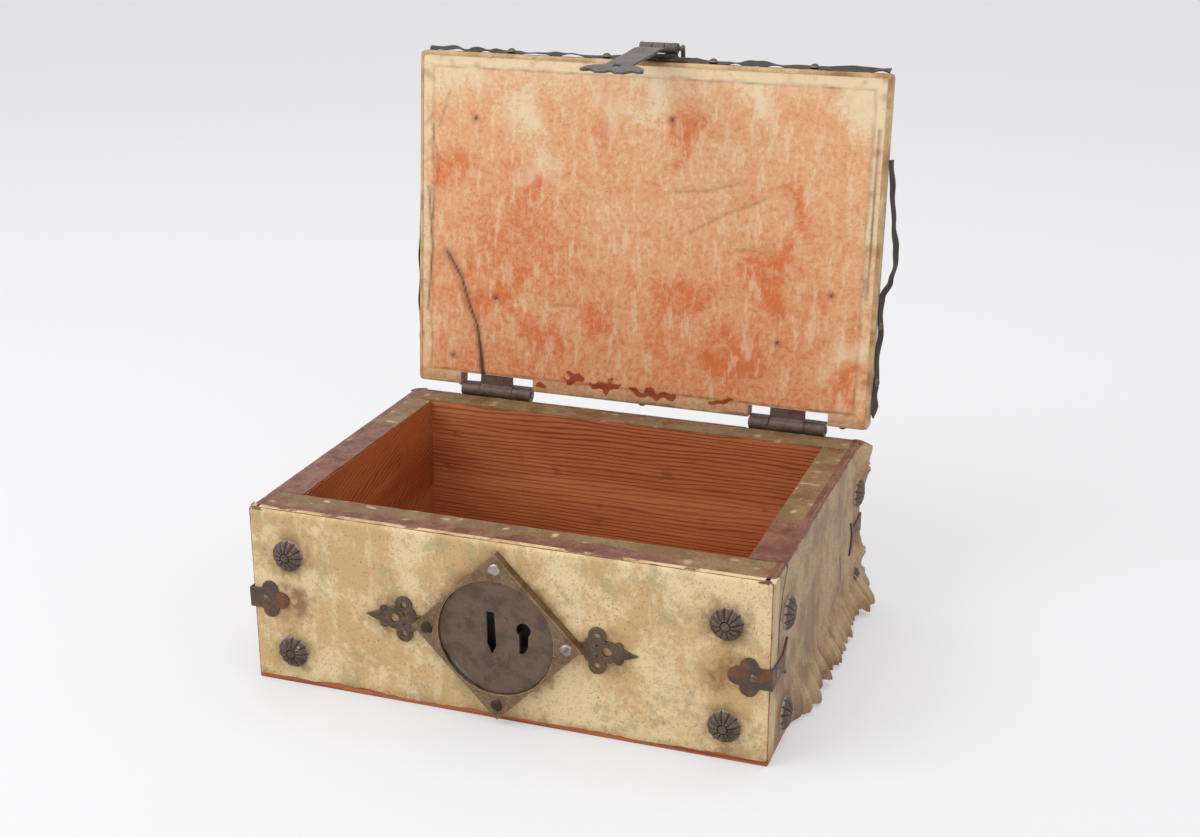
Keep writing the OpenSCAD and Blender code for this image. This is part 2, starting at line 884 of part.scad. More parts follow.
module at_leaf_nails() {
    for (side = [-1, 1], y = leaf_nail_y)
        translate([hasp_x + side*leaf_nail_x, y, lid_high + hasp_t]) children();
}

module lid_fixing_holes() {
    at_front_strip_nails() nail_hole(tack_r, strip_t + tack_depth + hole_spare);
    at_back_strip_nails() nail_hole(tack_r, strip_t + short_tack + hole_spare/2);
    at_side_strip_nails() nail_hole(tack_r, strip_t + tack_depth + hole_spare);
    at_leaf_nails() nail_hole(tack_r, hasp_t + leaf_tack + hole_spare);
}

module lid_board() {
    color("peru") on_lid() difference() {
        block([lid_left + skin, lid_front + skin, lid_low + skin],
              [lid_right - skin, lid_back - skin, lid_high - skin]);
        lid_notches();
        lid_strap(hinge_left_x, 0.2);
        lid_strap(hinge_right_x, 0.2);
        at_lid_strap_nails() lid_strap_nail(nail_gap);
        lid_fixing_holes();
    }
}

// Outer vellum: over the top, down the edges and turned in underneath
module lid_cover() {
    color("wheat") on_lid() difference() {
        block([lid_left, lid_front, lid_low], [lid_right, lid_back, lid_high]);
        block([lid_left + skin, lid_front + skin, lid_low + skin],
              [lid_right - skin, lid_back - skin, lid_high - skin]);
        block([lid_left + turn_in, lid_front + turn_in, lid_low - over],
              [lid_right - turn_in, lid_back - turn_in, lid_low + skin + 0.01]);
        lid_notches();
        lid_fixing_holes();
    }
}

module lid_lining() {
    color("sandybrown") on_lid()
        block([lid_left + turn_in, lid_front + turn_in, lid_low],
              [lid_right - turn_in, lid_back - turn_in, lid_low + skin]);
}

// Iron edging round the lid's outer edge
module edge_strip_front() {
    color("darkslategray") on_lid() difference() {
        block([lid_left + 3, lid_front - strip_t, strip_low], [lid_right - 3, lid_front, lid_high]);
        at_front_strip_nails() nail_hole(tack_r, strip_t + over);
    }
}

module edge_strip_back() {
    color("darkslategray") on_lid() difference() {
        block([lid_left + 3, lid_back, strip_low], [lid_right - 3, lid_back + strip_t, lid_high]);
        at_back_strip_nails() nail_hole(tack_r, strip_t + over);
    }
}

module edge_strip_left() {
    color("darkslategray") on_lid() difference() {
        block([lid_left - strip_t, lid_front + left_strip[0], strip_low],
              [lid_left, lid_front + left_strip[1], lid_high]);
        at_side_strip_nails() nail_hole(tack_r, strip_t + over);
    }
}

// The right strip has come loose in the middle and bows out
module edge_strip_right() {
    bow = [[right_strip[0], 0.4], [88, 0.62*right_bow], [111, right_bow], [134, 0.2], [140, 0],
           [right_strip[1], 0]];
    last = len(bow) - 1;
    color("darkslategray") on_lid() difference() {
        translate([lid_right, lid_front, strip_low]) linear_extrude(strip_h)
            polygon(concat([for (p = bow) [p[1], p[0]]],
                           [for (i = [last:-1:0]) [bow[i][1] + strip_t, bow[i][0]]]));
        at_side_strip_nails() nail_hole(tack_r, strip_t + over);
    }
}

module edge_strip_nails() {
    color("dimgray") on_lid() {
        at_front_strip_nails() nail(tack_head, tack_high + 0.6, tack_r, strip_t + tack_depth);
        at_back_strip_nails() nail(tack_head, tack_high, tack_r, strip_t + short_tack);
        at_side_strip_nails() nail(tack_head, tack_high, tack_r, strip_t + tack_depth);
    }
}

// Hasp
module hasp_leaf() {
    inner = hasp_eye_w/2 + side_gap;
    outer = inner + leaf_eye_w;
    color("olive") on_lid() difference() {
        union() {
            block([hasp_x - leaf_w/2, lid_front - leaf_lip, lid_high],
                  [hasp_x + leaf_w/2, lid_front + leaf_len, lid_high + hasp_t]);
            block([hasp_x - outer, hasp_y, lid_high],
                  [hasp_x + outer, lid_front, lid_high + hasp_t]);
            translate([hasp_x - outer, hasp_y, leaf_z]) rotate([0, 90, 0])
                cylinder(r = hasp_eye_r, h = 2*outer);
        }
        block([hasp_x - inner, hasp_y - hasp_eye_r - over, lid_high - hasp_eye_r],
              [hasp_x + inner, hasp_y + hasp_eye_r + 0.4, lid_high + 2*hasp_eye_r]);
        translate([hasp_x - outer - over, hasp_y, leaf_z]) rotate([0, 90, 0])
            cylinder(r = hasp_pin_r + bore_gap, h = 2*outer + 2*over);
        at_leaf_nails() nail_hole(tack_r, hasp_t + over);
    }
}

module hasp_leaf_nails() {
    color("dimgray") on_lid() at_leaf_nails() nail(tack_head, tack_high, tack_r, hasp_t + leaf_tack);
}

// Wire pin, its right end bent up and back over the leaf so that it can't slip out
module hasp_pin() {
    color("darkkhaki") on_lid() translate([hasp_x, hasp_y, leaf_z]) {
        translate([-pin_left, 0, 0]) rotate([0, 90, 0])
            cylinder(r = hasp_pin_r, h = pin_left + pin_bend_x);
        translate([pin_bend_x, 0, 0]) rotate([pin_turn, 0, 0]) {
            sphere(r = hasp_pin_r);
            cylinder(r = hasp_pin_r, h = pin_rise);
            translate([0, 0, pin_rise]) {
                sphere(r = hasp_pin_r);
                rotate([-90, 0, 0]) cylinder(r = hasp_pin_r, h = pin_tail);
            }
        }
    }
}

// Sideways lean of the hasp's middle line at a distance down from its pin
function hasp_line(d) = 1.2 - hasp_arch*sin(min(d, 40)*4.5) + hasp_lean*pow(d/hasp_len, 2);

module hasp_outline() {
    neck = hasp_eye_w/2;
    half = hasp_w/2;
    tip = tail_w/2;
    difference() {
        polygon([[-neck, 0], [neck, 0], [neck, -4], [half, -9], [half, -hasp_len + 20],
                 [half - 0.5, -hasp_len + 14], [tip - 6, -hasp_len + 11], [tip - 1, -hasp_len + 6],
                 [tip, -hasp_len + 1], [tip - 2, -hasp_len - 1], [tip - 6, -hasp_len + 1],
                 [half, -hasp_len - 3.5], [3, -hasp_len - 3], [0, -hasp_len],
                 [-3, -hasp_len - 3], [-half, -hasp_len - 3.5], [-tip + 6, -hasp_len + 1],
                 [-tip + 2, -hasp_len - 1], [-tip, -hasp_len + 1], [-tip + 1, -hasp_len + 6],
                 [-tip + 6, -hasp_len + 11], [-half + 0.5, -hasp_len + 14],
                 [-half, -hasp_len + 20], [-half, -9], [-neck, -4]]);
        translate([-2.3, -hasp_len + 8]) square([4.6, 6.5]);
    }
}

module hasp() {
    reach = hasp_len + 4;
    side = [for (i = [0:hasp_steps]) let(d = i*reach/hasp_steps) [hasp_line(d), -d]];
    color("dimgray") on_lid() translate([hasp_x, hasp_y, leaf_z]) difference() {
        union() {
            intersection() {
                translate([0, 20, 0]) rotate([90, 0, 0]) linear_extrude(40) hasp_outline();
                translate([-tail_w, 0, 0]) rotate([90, 0, 90]) linear_extrude(2*tail_w)
                    polygon(concat([for (p = side) [p[0] - hasp_t/2, p[1]]],
                                   [for (i = [hasp_steps:-1:0]) [side[i][0] + hasp_t/2, side[i][1]]]));
            }
            translate([-hasp_eye_w/2, 0, 0]) rotate([0, 90, 0])
                cylinder(r = hasp_eye_r, h = hasp_eye_w);
        }
        translate([-hasp_eye_w/2 - over, 0, 0]) rotate([0, 90, 0])
            cylinder(r = hasp_pin_r + bore_gap, h = hasp_eye_w + 2*over);
    }
}

front_board();
back_board();
left_board();
right_board();
bottom_board();
corner_nails();
bottom_nails();
cover_front();
cover_back();
cover_left();
cover_right();
lock_frame();
lock_plate();
lock_case();
lock_bolt();
bolt_guides();
lock_spring();
lock_nails();
case_nails();
finial_left();
finial_right();
rosettes_front();
rosettes_left();
rosettes_right();
corner_strap_front_left();
corner_strap_front_right();
corner_strap_back_left();
corner_strap_back_right();
corner_strap_nails();
hinge_strap_chest_left();
hinge_strap_chest_right();
hinge_pin_left();
hinge_pin_right();
hinge_nails_chest();
lid_board();
lid_cover();
lid_lining();
hinge_strap_lid_left();
hinge_strap_lid_right();
hinge_nails_lid();
edge_strip_front();
edge_strip_back();
edge_strip_left();
edge_strip_right();
edge_strip_nails();
hasp_leaf();
hasp_leaf_nails();
hasp_pin();
hasp();
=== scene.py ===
"""Looks of a small vellum-covered casket with iron fittings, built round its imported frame."""
import json
from math import cos, hypot, pi, radians, sin, sqrt

import bpy
from mathutils import Matrix, Vector, noise

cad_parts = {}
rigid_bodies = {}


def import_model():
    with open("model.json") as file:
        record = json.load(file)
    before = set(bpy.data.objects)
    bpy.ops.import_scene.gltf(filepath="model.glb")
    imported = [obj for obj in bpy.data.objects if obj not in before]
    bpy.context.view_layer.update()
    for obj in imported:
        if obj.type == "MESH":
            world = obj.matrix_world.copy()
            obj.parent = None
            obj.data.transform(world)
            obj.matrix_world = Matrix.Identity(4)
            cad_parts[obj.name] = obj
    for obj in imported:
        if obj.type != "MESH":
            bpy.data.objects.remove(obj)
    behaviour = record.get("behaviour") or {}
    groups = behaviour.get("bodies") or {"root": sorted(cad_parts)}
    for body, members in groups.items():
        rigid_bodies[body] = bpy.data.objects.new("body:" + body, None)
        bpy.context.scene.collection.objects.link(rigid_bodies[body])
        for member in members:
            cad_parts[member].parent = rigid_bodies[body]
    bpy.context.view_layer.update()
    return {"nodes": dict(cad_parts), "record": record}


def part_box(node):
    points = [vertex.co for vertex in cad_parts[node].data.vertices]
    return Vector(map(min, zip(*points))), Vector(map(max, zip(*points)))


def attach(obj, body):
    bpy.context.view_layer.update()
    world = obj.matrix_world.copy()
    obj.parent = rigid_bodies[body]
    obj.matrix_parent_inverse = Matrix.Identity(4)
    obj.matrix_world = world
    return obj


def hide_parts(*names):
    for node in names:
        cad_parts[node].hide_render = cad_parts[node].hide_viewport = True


bl_info = {
    "name": "Vellum-covered casket",
    "version": (1, 0, 0),
    "blender": (4, 5, 0),
    "location": "View3D > Sidebar > Casket",
    "description": "Builds the covers, ironwork and studio of a small wooden casket",
    "category": "Object",
}

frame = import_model()
NODES = frame["nodes"]
MM = 0.001


def node_box(name):
    """Lowest and highest corner of a CAD node in millimetres."""
    low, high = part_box(name)
    return Vector(low) / MM, Vector(high) / MM


# Lines of the chest in millimetres, read from the frame
CHEST_LOW, CHEST_HIGH = node_box("cover_front")
SIDE_X = CHEST_HIGH.x
FRONT_Y = CHEST_LOW.y
RIM_Z = CHEST_HIGH.z
BACK_Y = node_box("cover_back")[1].y
CAVITY_FRONT = CHEST_HIGH.y
CAVITY_BACK = node_box("cover_back")[0].y
CAVITY_X = node_box("cover_right")[0].x
FRAME_LOW, FRAME_HIGH = node_box("lock_frame")
LOCK_Z = (FRAME_LOW.z + FRAME_HIGH.z) / 2
PINS = [node_box("hinge_pin_" + side) for side in ("left", "right")]
HINGE_X = [(low.x + high.x) / 2 for low, high in PINS]
HINGE_Y, HINGE_Z = [(PINS[0][0][i] + PINS[0][1][i]) / 2 for i in (1, 2)]
LID_OPEN = radians(95.2)
OPEN_LID = (Matrix.Translation((0, HINGE_Y, HINGE_Z)) @ Matrix.Rotation(-LID_OPEN, 4, "X")
            @ Matrix.Translation((0, -HINGE_Y, -HINGE_Z)))
CLOSED_LID = OPEN_LID.inverted()


def closed_box(name):
    """Box of a lid node as it lies when the lid is shut, in millimetres."""
    points = [CLOSED_LID @ (v.co / MM) for v in NODES[name].data.vertices]
    return [Vector([end(p[i] for p in points) for i in range(3)]) for end in (min, max)]


LID_LOW, LID_HIGH = closed_box("lid_cover")
LINING_LOW, LINING_HIGH = closed_box("lid_lining")

# Sizes of the looks in millimetres: the floor's side, skin thicknesses, the fold over the rim,
# the hole round the lock, and the lid cover's rounding and height
FLOOR = 40000
SKIN, RIM_SKIN, LID_SKIN, LINING_SKIN = 0.8, 0.72, 0.7, 0.5
FOLD = 2.6
LOCK_HOLE = 32.5
LID_ROUND, LID_THICK = 3.2, 12.0
BORDER_IN = 0.7

# Places of nails, hinge pockets and lid notches in millimetres
ROSETTE_X = [CHEST_LOW.x + 24, CHEST_HIGH.x - 24]
ROSETTE_FRONT_Z = [20, 79]
ROSETTE_Y = [FRONT_Y + 31, BACK_Y - 12]
ROSETTE_SIDE_Z = [16, 75]
ROSETTE_RADIUS = 9.4
STRAP_Z = 51
STRIP_NAILS_X = [-89, -26, 42, 104]
POCKET_HALF, POCKET_Y = 25.4, HINGE_Y - 5
NOTCH_HALF, NOTCH_Y = 25.3, LID_HIGH.y - 8
BODIES = {node: body for body, nodes in frame["record"]["behaviour"]["bodies"].items()
          for node in nodes}


# Colour and material helpers
def colour(text):
    """Linear colour with alpha from an sRGB hex value."""
    parts = [int(text[i:i + 2], 16) / 255 for i in (1, 3, 5)]
    linear = [c / 12.92 if c <= 0.04045 else ((c + 0.055) / 1.055) ** 2.4 for c in parts]
    return (*linear, 1.0)


def feed(tree, node, inputs):
    """Set a node's inputs, each to a socket, a hex colour or a value."""
    for key, value in inputs.items():
        if isinstance(value, bpy.types.NodeSocket):
            tree.links.new(value, node.inputs[key])
        else:
            node.inputs[key].default_value = colour(value) if isinstance(value, str) else value


def add_node(tree, kind, inputs, out=0, **settings):
    """Add one node with its settings and inputs, and give back one of its outputs."""
    node = tree.nodes.new("ShaderNode" + kind)
    for key, value in settings.items():
        setattr(node, key, value)
    feed(tree, node, inputs)
    return node.outputs[out]


def new_material(name):
    """Material, its node tree and its object coordinates."""
    material = bpy.data.materials.new(name)
    material.use_nodes = True
    tree = material.node_tree
    return material, tree, add_node(tree, "TexCoord", {}, "Object")


def surface(material, tint, height, depth, rough, sheen=0.5, metal=0.0):
    """Set the shader's colour, finish, and a bump of a real depth in millimetres."""
    tree = material.node_tree
    bump = add_node(tree, "Bump", {"Height": height, "Strength": 1.0, "Distance": depth * MM})
    feed(tree, tree.nodes["Principled BSDF"],
         {"Base Color": tint, "Normal": bump, "Roughness": rough, "Specular IOR Level": sheen,
          "Metallic": metal})
    return material


def painted(tree, name):
    """Value that the builder painted on the piece's points."""
    return add_node(tree, "Attribute", {}, "Fac", attribute_name=name)


def blotches(tree, place, size, detail=4.0, rough=0.6, stretch=(1, 1, 1)):
    """Noise whose patches are about size millimetres wide."""
    spot = add_node(tree, "Mapping", {"Vector": place, "Scale": stretch})
    return add_node(tree, "TexNoise", {"Vector": spot, "Scale": 1 / (size * MM),
                                       "Detail": detail, "Roughness": rough})


def total(tree, *parts):
    """Sum of pairs of a value and its weight."""
    result = 0.0
    for value, weight in parts:
        result = add_node(tree, "Math", {0: value, 1: weight, 2: result},
                          operation="MULTIPLY_ADD")
    return result


def fade(tree, value, low, high, share=1.0):
    """0 at low and share at high, with a soft start and end."""
    return add_node(tree, "MapRange", {"Value": value, "From Min": low, "From Max": high,
                                       "To Max": share}, interpolation_type="SMOOTHSTEP")


def lay_over(tree, tint, *layers):
    """Lay shades over a tint, each by a value, or by its fade from low to high up to a share."""
    for shade, value, *span in layers:
        amount = fade(tree, value, *span) if span else value
        tint = add_node(tree, "Mix", {0: amount, 6: tint, 7: shade}, 2, data_type="RGBA")
    return tint


def ragged(tree, shade, grain, give):
    """Layer of a shade where worn is painted, with an edge torn by the grain."""
    torn = total(tree, (painted(tree, "worn"), 1), (grain, give))
    return shade, torn, 0.46 + give / 2, 0.56 + give / 2


def vellum(name, pale, warm, olive, dirt, fleck=0.66):
    """Limed calfskin, scraped and glued: mottling, specks, drips, rust and bare worn bands."""
    material, tree, place = new_material("vellum_" + name)
    broad = blotches(tree, place, 42, 9, 0.68)
    middle = blotches(tree, place, 13, 9, 0.72)
    fine = blotches(tree, place, 2.6, 8, 0.75)
    drip = blotches(tree, place, 12, 8, 0.7, (1, 1, 0.3))
    speck = blotches(tree, place, 1.1, 3)
    mottle = total(tree, (broad, 1), (fine, 0.35))
    worn = lay_over(tree, "#6a3d31", ("#8a5f50", drip, 0.35, 0.6), (dirt, fine, 0.45, 0.7))
    # Warm ground, then pale scraped patches, olive bruises, drips and dark specks over it; the
    # brown stain layer also holds painted shade at the sheets' feet
    tint = lay_over(tree, warm, (pale, mottle, 0.615, 0.735), (olive, middle, 0.5, 0.62, 0.7),
                    (pale, drip, 0.52, 0.6, 0.6), (dirt, fine, 0.54, 0.68, 0.4),
                    (dirt, speck, fleck, fleck + 0.05, 0.7),
                    ("#d3bd92", broad, 0.75, 0.35, painted(tree, "fresh")),
                    ("#7a4b26", middle, 0.3, 0.62, painted(tree, "stain")),
                    # The near-black crack layer is painted shade in splits, slits, seams and
                    # creases
                    ragged(tree, worn, middle, 0.9), ("#2a1a12", painted(tree, "crack")))
    return surface(material, tint, total(tree, (middle, 1), (fine, 0.4)), 0.5, 0.55, 0.35)


def flushed_lining():
    """Inner skin stained by the board's resin: peach ground, orange bruises, rubbed places, and
    painted shade in the crack, tears, holes, creases and along the border.
    """
    material, tree, place = new_material("vellum_lid_inner")
    broad = blotches(tree, place, 48, 9, 0.7)
    middle = blotches(tree, place, 15, 9, 0.75)
    fine = blotches(tree, place, 3, 9, 0.8)
    dab = blotches(tree, place, 9, 8, 0.75)
    brush = blotches(tree, place, 5, 7, 0.7, (1, 0.25, 0.25))
    speck = blotches(tree, place, 1.3, 3)
    flush = painted(tree, "flush")
    heat = total(tree, (flush, 0.55), (broad, 0.55), (middle, 0.6), (fine, 1.1))
    tint = lay_over(tree, "#ecd3a9", ("#e3aa7c", heat, 1.0, 1.4), ("#d9753f", heat, 1.33, 1.8),
                    ("#d87a46", dab, 0.5, 0.6, fade(tree, flush, 0.3, 0.95, 0.6)),
                    ("#cc6636", fine, 0.5, 0.62, fade(tree, flush, 0.3, 0.95, 0.45)),
                    ("#f3dcb8", brush, 0.5, 0.66, 0.45), ("#c9845a", fine, 0.52, 0.68, 0.35),
                    ("#8a4a2a", speck, 0.66, 0.72, 0.6),
                    ("#eedfc0", fine, 0.3, 0.7, painted(tree, "pale")),
                    ("#7d3a22", total(tree, (painted(tree, "stain"), 0.8))),
                    # The near-black crack layer is painted shade: the crack, tears, holes, creases
                    # and the border's step
                    ragged(tree, "#a04a2a", fine, 0.7), ("#4a2416", painted(tree, "crack")))
    return surface(material, tint, total(tree, (middle, 1), (fine, 0.5)), 0.45, 0.5, 0.35)


def pine(name, ground, line, light, along="X", ring=3.0, slant=0.0):
    """Resinous pine, planed and aged: dark late-wood lines that waver along the board."""
    material, tree, place = new_material("pine_" + name)
    long_way, thin = [(s, 1, 1) if along == "X" else (1, s, 1) for s in (0.12, 0.04)]
    sway = blotches(tree, place, 30, 3, stretch=long_way)
    ripple = blotches(tree, place, 5, 3, stretch=long_way)
    cloud = blotches(tree, place, 34, 5, stretch=long_way)
    fibre = blotches(tree, place, 1.2, 5, 0.75, thin)
    resin = blotches(tree, place, 16, 6)
    up, back = [add_node(tree, "SeparateXYZ", {"Vector": place}, axis) for axis in "ZY"]
    height = total(tree, (up, 1), (sway, 15 * MM), (ripple, 2.2 * MM), (back, -slant))
    # Late wood is the dark middle of each ring
    turn = add_node(tree, "Math", {0: height, 1: ring * MM / 2}, operation="PINGPONG")
    late = fade(tree, turn, 0.2 * ring * MM, 0.48 * ring * MM)
    tint = lay_over(tree, ground, (light, cloud, 0.38, 0.62), (line, cloud, 0.75, 0.25, late),
                    (line, total(tree, (late, 0.25))), (line, fibre, 0.52, 0.72, 0.5),
                    ("#4d2413", resin, 0.6, 0.75, 0.4))
    return surface(material, tint, total(tree, (late, 0.5), (fibre, 1)), 0.22, 0.55, 0.3)


def forged_iron(name, base, rust, shine, metal=0.5, rough=0.5, pits=0.3, edges=0.6):
    """Hammered iron under an old oiled patina: brown-black, rust in the pits, rubbed high spots."""
    material, tree, place = new_material("iron_" + name)
    broad = blotches(tree, place, 9, 6, 0.65)
    fine = blotches(tree, place, 1.2, 7, 0.75)
    edge = add_node(tree, "NewGeometry", {}, "Pointiness")
    tint = lay_over(tree, base, (rust, broad, 0.42, 0.62), (shine, fine, 0.5, 0.7, 0.55),
                    (shine, edge, 0.52, 0.58, edges), ("#3d332c", painted(tree, "soot")))
    wear = add_node(tree, "MapRange", {"Value": fine, "From Min": 0.3, "From Max": 0.7,
                                       "To Min": rough - 0.12, "To Max": rough + 0.15})
    return surface(material, tint, fine, pits, wear, metal=metal)


def seen_rays(tree):
    """1 for rays that come from the camera, straight, mirrored or through glass."""
    path = add_node(tree, "LightPath", {}).node
    rays = path.outputs["Is Camera Ray"]
    for name in ("Is Glossy Ray", "Is Transmission Ray"):
        rays = add_node(tree, "Math", {0: rays, 1: path.outputs[name]}, operation="MAXIMUM")
    return rays


# Mesh helpers. Every length and point given to them is in millimetres
def pick(piece):
    """Leave only this piece selected and active."""
    bpy.ops.object.select_all(action="DESELECT")
    piece.select_set(True)
    bpy.context.view_layer.objects.active = piece


def apply_modifiers(piece):
    """Make every modifier part of the mesh."""
    pick(piece)
    for modifier in list(piece.modifiers):
        bpy.ops.object.modifier_apply(modifier=modifier.name)


def set_place(piece):
    """Put the piece's place, turn and size into its mesh."""
    pick(piece)
    bpy.ops.object.transform_apply(location=True, rotation=True, scale=True)


def tidy_mesh(piece, merge=0.001):
    """Merge doubled points and turn every face outward."""
    pick(piece)
    bpy.ops.object.mode_set(mode="EDIT")
    bpy.ops.mesh.select_all(action="SELECT")
    bpy.ops.mesh.remove_doubles(threshold=merge * MM)
    bpy.ops.mesh.normals_make_consistent(inside=False)
    bpy.ops.object.mode_set(mode="OBJECT")


def grid(name, columns, rows, place):
    """Sheet of columns by rows faces whose points are moved to place(u, v)."""
    bpy.ops.object.select_all(action="DESELECT")
    bpy.ops.mesh.primitive_grid_add(x_subdivisions=columns, y_subdivisions=rows, size=2)
    piece = bpy.context.object
    piece.name = name
    for v in piece.data.vertices:
        v.co = Vector(place((v.co.x + 1) / 2, (v.co.y + 1) / 2)) * MM
    return piece


def thicken(piece, amount):
    """Give a sheet its thickness on the inner side of its faces."""
    wall = piece.modifiers.new("thickness", "SOLIDIFY")
    wall.thickness = amount * MM
    wall.offset = -1
    apply_modifiers(piece)
    return piece


def cut_faces(piece, inside):
    """Delete the faces whose middle is inside."""
    pick(piece)
    bpy.ops.object.mode_set(mode="EDIT")
    bpy.ops.mesh.select_mode(type="FACE")
    bpy.ops.mesh.select_all(action="DESELECT")
    bpy.ops.object.mode_set(mode="OBJECT")
    for face in piece.data.polygons:
        face.select = bool(inside(face.center / MM))
    bpy.ops.object.mode_set(mode="EDIT")
    bpy.ops.mesh.delete(type="FACE")
    bpy.ops.mesh.select_mode(type="VERT")
    bpy.ops.object.mode_set(mode="OBJECT")


def copy_node(name):
    """Merged copy of a CAD node's mesh."""
    pick(NODES[name])
    bpy.ops.object.duplicate()
    piece = bpy.context.object
    piece.name = "iron_" + name
    if piece.parent:
        bpy.ops.object.parent_clear(type="CLEAR_KEEP_TRANSFORM")
    set_place(piece)
    tidy_mesh(piece)
    return piece


def soften(piece, voxel, rounds):
    """Even out a hard-edged solid into a fine mesh with worn edges."""
    pick(piece)
    piece.data.remesh_voxel_size = voxel * MM
    piece.data.use_remesh_fix_poles = False
    bpy.ops.object.voxel_remesh()
    smooth = piece.modifiers.new("wear", "SMOOTH")
    smooth.factor = 0.5
    smooth.iterations = rounds
    apply_modifiers(piece)
    return piece


def hammer(piece, depth, size, seed=0.0):
    """Move points along their normals by smooth noise."""
    shift = Vector((seed, 2 * seed, 3 * seed))
    moved = [v.co + v.normal * (noise.noise(v.co / (size * MM) + shift) * depth * MM)
             for v in piece.data.vertices]
    for v, spot in zip(piece.data.vertices, moved):
        v.co = spot


def join(pieces, name):
    """One object from several."""
    pick(pieces[0])
    for piece in pieces[1:]:
        piece.select_set(True)
    bpy.ops.object.join()
    pieces[0].name = name
    return pieces[0]


def paint(piece, **layers):
    """Store each layer's value at a point, layer(point), on every point of the piece."""
    for name, value in layers.items():
        layer = piece.data.attributes.new(name, "FLOAT", "POINT")
        layer.data.foreach_set("value", [value(v.co / MM) for v in piece.data.vertices])


def finish(piece, material, *nodes, angle=35):
    """Smooth and dress a finished piece that stands for CAD nodes."""
    set_place(piece)
    bpy.ops.object.shade_smooth_by_angle(angle=radians(angle))
    piece.data.materials.clear()
    piece.data.materials.append(material)
    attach(piece, BODIES[nodes[0]])
    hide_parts(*nodes)
    return piece


def dress(material, *names):
    """Give CAD nodes that keep their shape a better material."""
    for name in names:
        piece = NODES[name]
        piece.data.materials.clear()
        piece.data.materials.append(material)


def wave(value, size, seed=0.0):
    """Smooth noise between -1 and 1 along a line."""
    return noise.noise((value / size + seed * 7.3, seed, 0.37 * seed))


def bumps(x, y, size, seed):
    """Smooth noise between -1 and 1 over a plane."""
    return noise.noise((x / size, y / size, seed))


def rough_wave(value, size, seed=0.0):
    """Jagged noise between about -1 and 1 along a line."""
    return (wave(value, size, seed) + 0.6 * wave(value, size * 0.35, seed + 3)
            + 0.4 * wave(value, size * 0.12, seed + 5))


def step(value, low, high):
    """0 below low, 1 above high, smooth between them."""
    t = min(max((value - low) / (high - low), 0), 1)
    return t * t * (3 - 2 * t)


def near_line(point, line, width):
    """1 on a polyline of (a, b) points, fading to 0 at width."""
    best = width
    for (ax, ay), (bx, by) in zip(line, line[1:]):
        dx, dy = bx - ax, by - ay
        t = min(max(((point[0] - ax) * dx + (point[1] - ay) * dy) / (dx * dx + dy * dy), 0), 1)
        best = min(best, hypot(point[0] - ax - t * dx, point[1] - ay - t * dy))
    return 1 - best / width


def face_sheet(side, along, out, start, length, low, corner=(3.0, 3.0), lip=3.0, spread=None,
               columns=220, rows=84):
    """Sheet up one side of the chest, rounded over the rim and round its two upright corners.

    along and out are directions, start is the corner where the sheet begins, low(s) is its lower
    edge, and spread(s, z) is how far it stands off the board."""
    along, out, start = Vector(along), Vector(out), Vector(start)
    high, fold = RIM_Z, FOLD
    arc = fold * pi / 2

    def place(u, v):
        s = u * length
        z_low = low(s)
        reach = high - fold - z_low
        d = v * (reach + arc + lip)
        if d < reach:
            back, z = 0.0, z_low + d
        elif d < reach + arc:
            a = (d - reach) / fold
            back, z = fold * (1 - cos(a)), high - fold + fold * sin(a)
        else:
            back, z = fold + d - reach - arc, high
        # Round the upright corners
        shift = 0.0
        for r, run in ((corner[0], s), (corner[1], length - s)):
            if r and run < r:
                shift = max(shift, r - sqrt(max(r * r - (r - run) ** 2, 0)))
        lump = 0.22 * (0.5 + 0.5 * noise.noise((s / 17, z / 13, length)))
        lift = lump + (spread(s, z) if spread else 0.0)
        if z > high - fold:
            lift *= max(0.0, 1 - (z - high + fold) / fold)
        spot = start + along * s + out * (lift - shift - back)
        return (spot.x, spot.y, z)

    return grid("vellum_" + side + "_sheet", columns, rows, place)


class StageSettings(bpy.types.PropertyGroup):
    floor_colour: bpy.props.FloatVectorProperty(
        name="Floor", description="Colour of the studio floor", subtype="COLOR", size=4,
        default=colour("#ebebed"))
    key_power: bpy.props.FloatProperty(
        name="Key light", description="Power of the large lamp above left", default=14.6,
        unit="POWER")
    lens: bpy.props.FloatProperty(
        name="Lens", description="Focal length on a 36 mm wide sensor", default=52.947,
        subtype="DISTANCE_CAMERA")


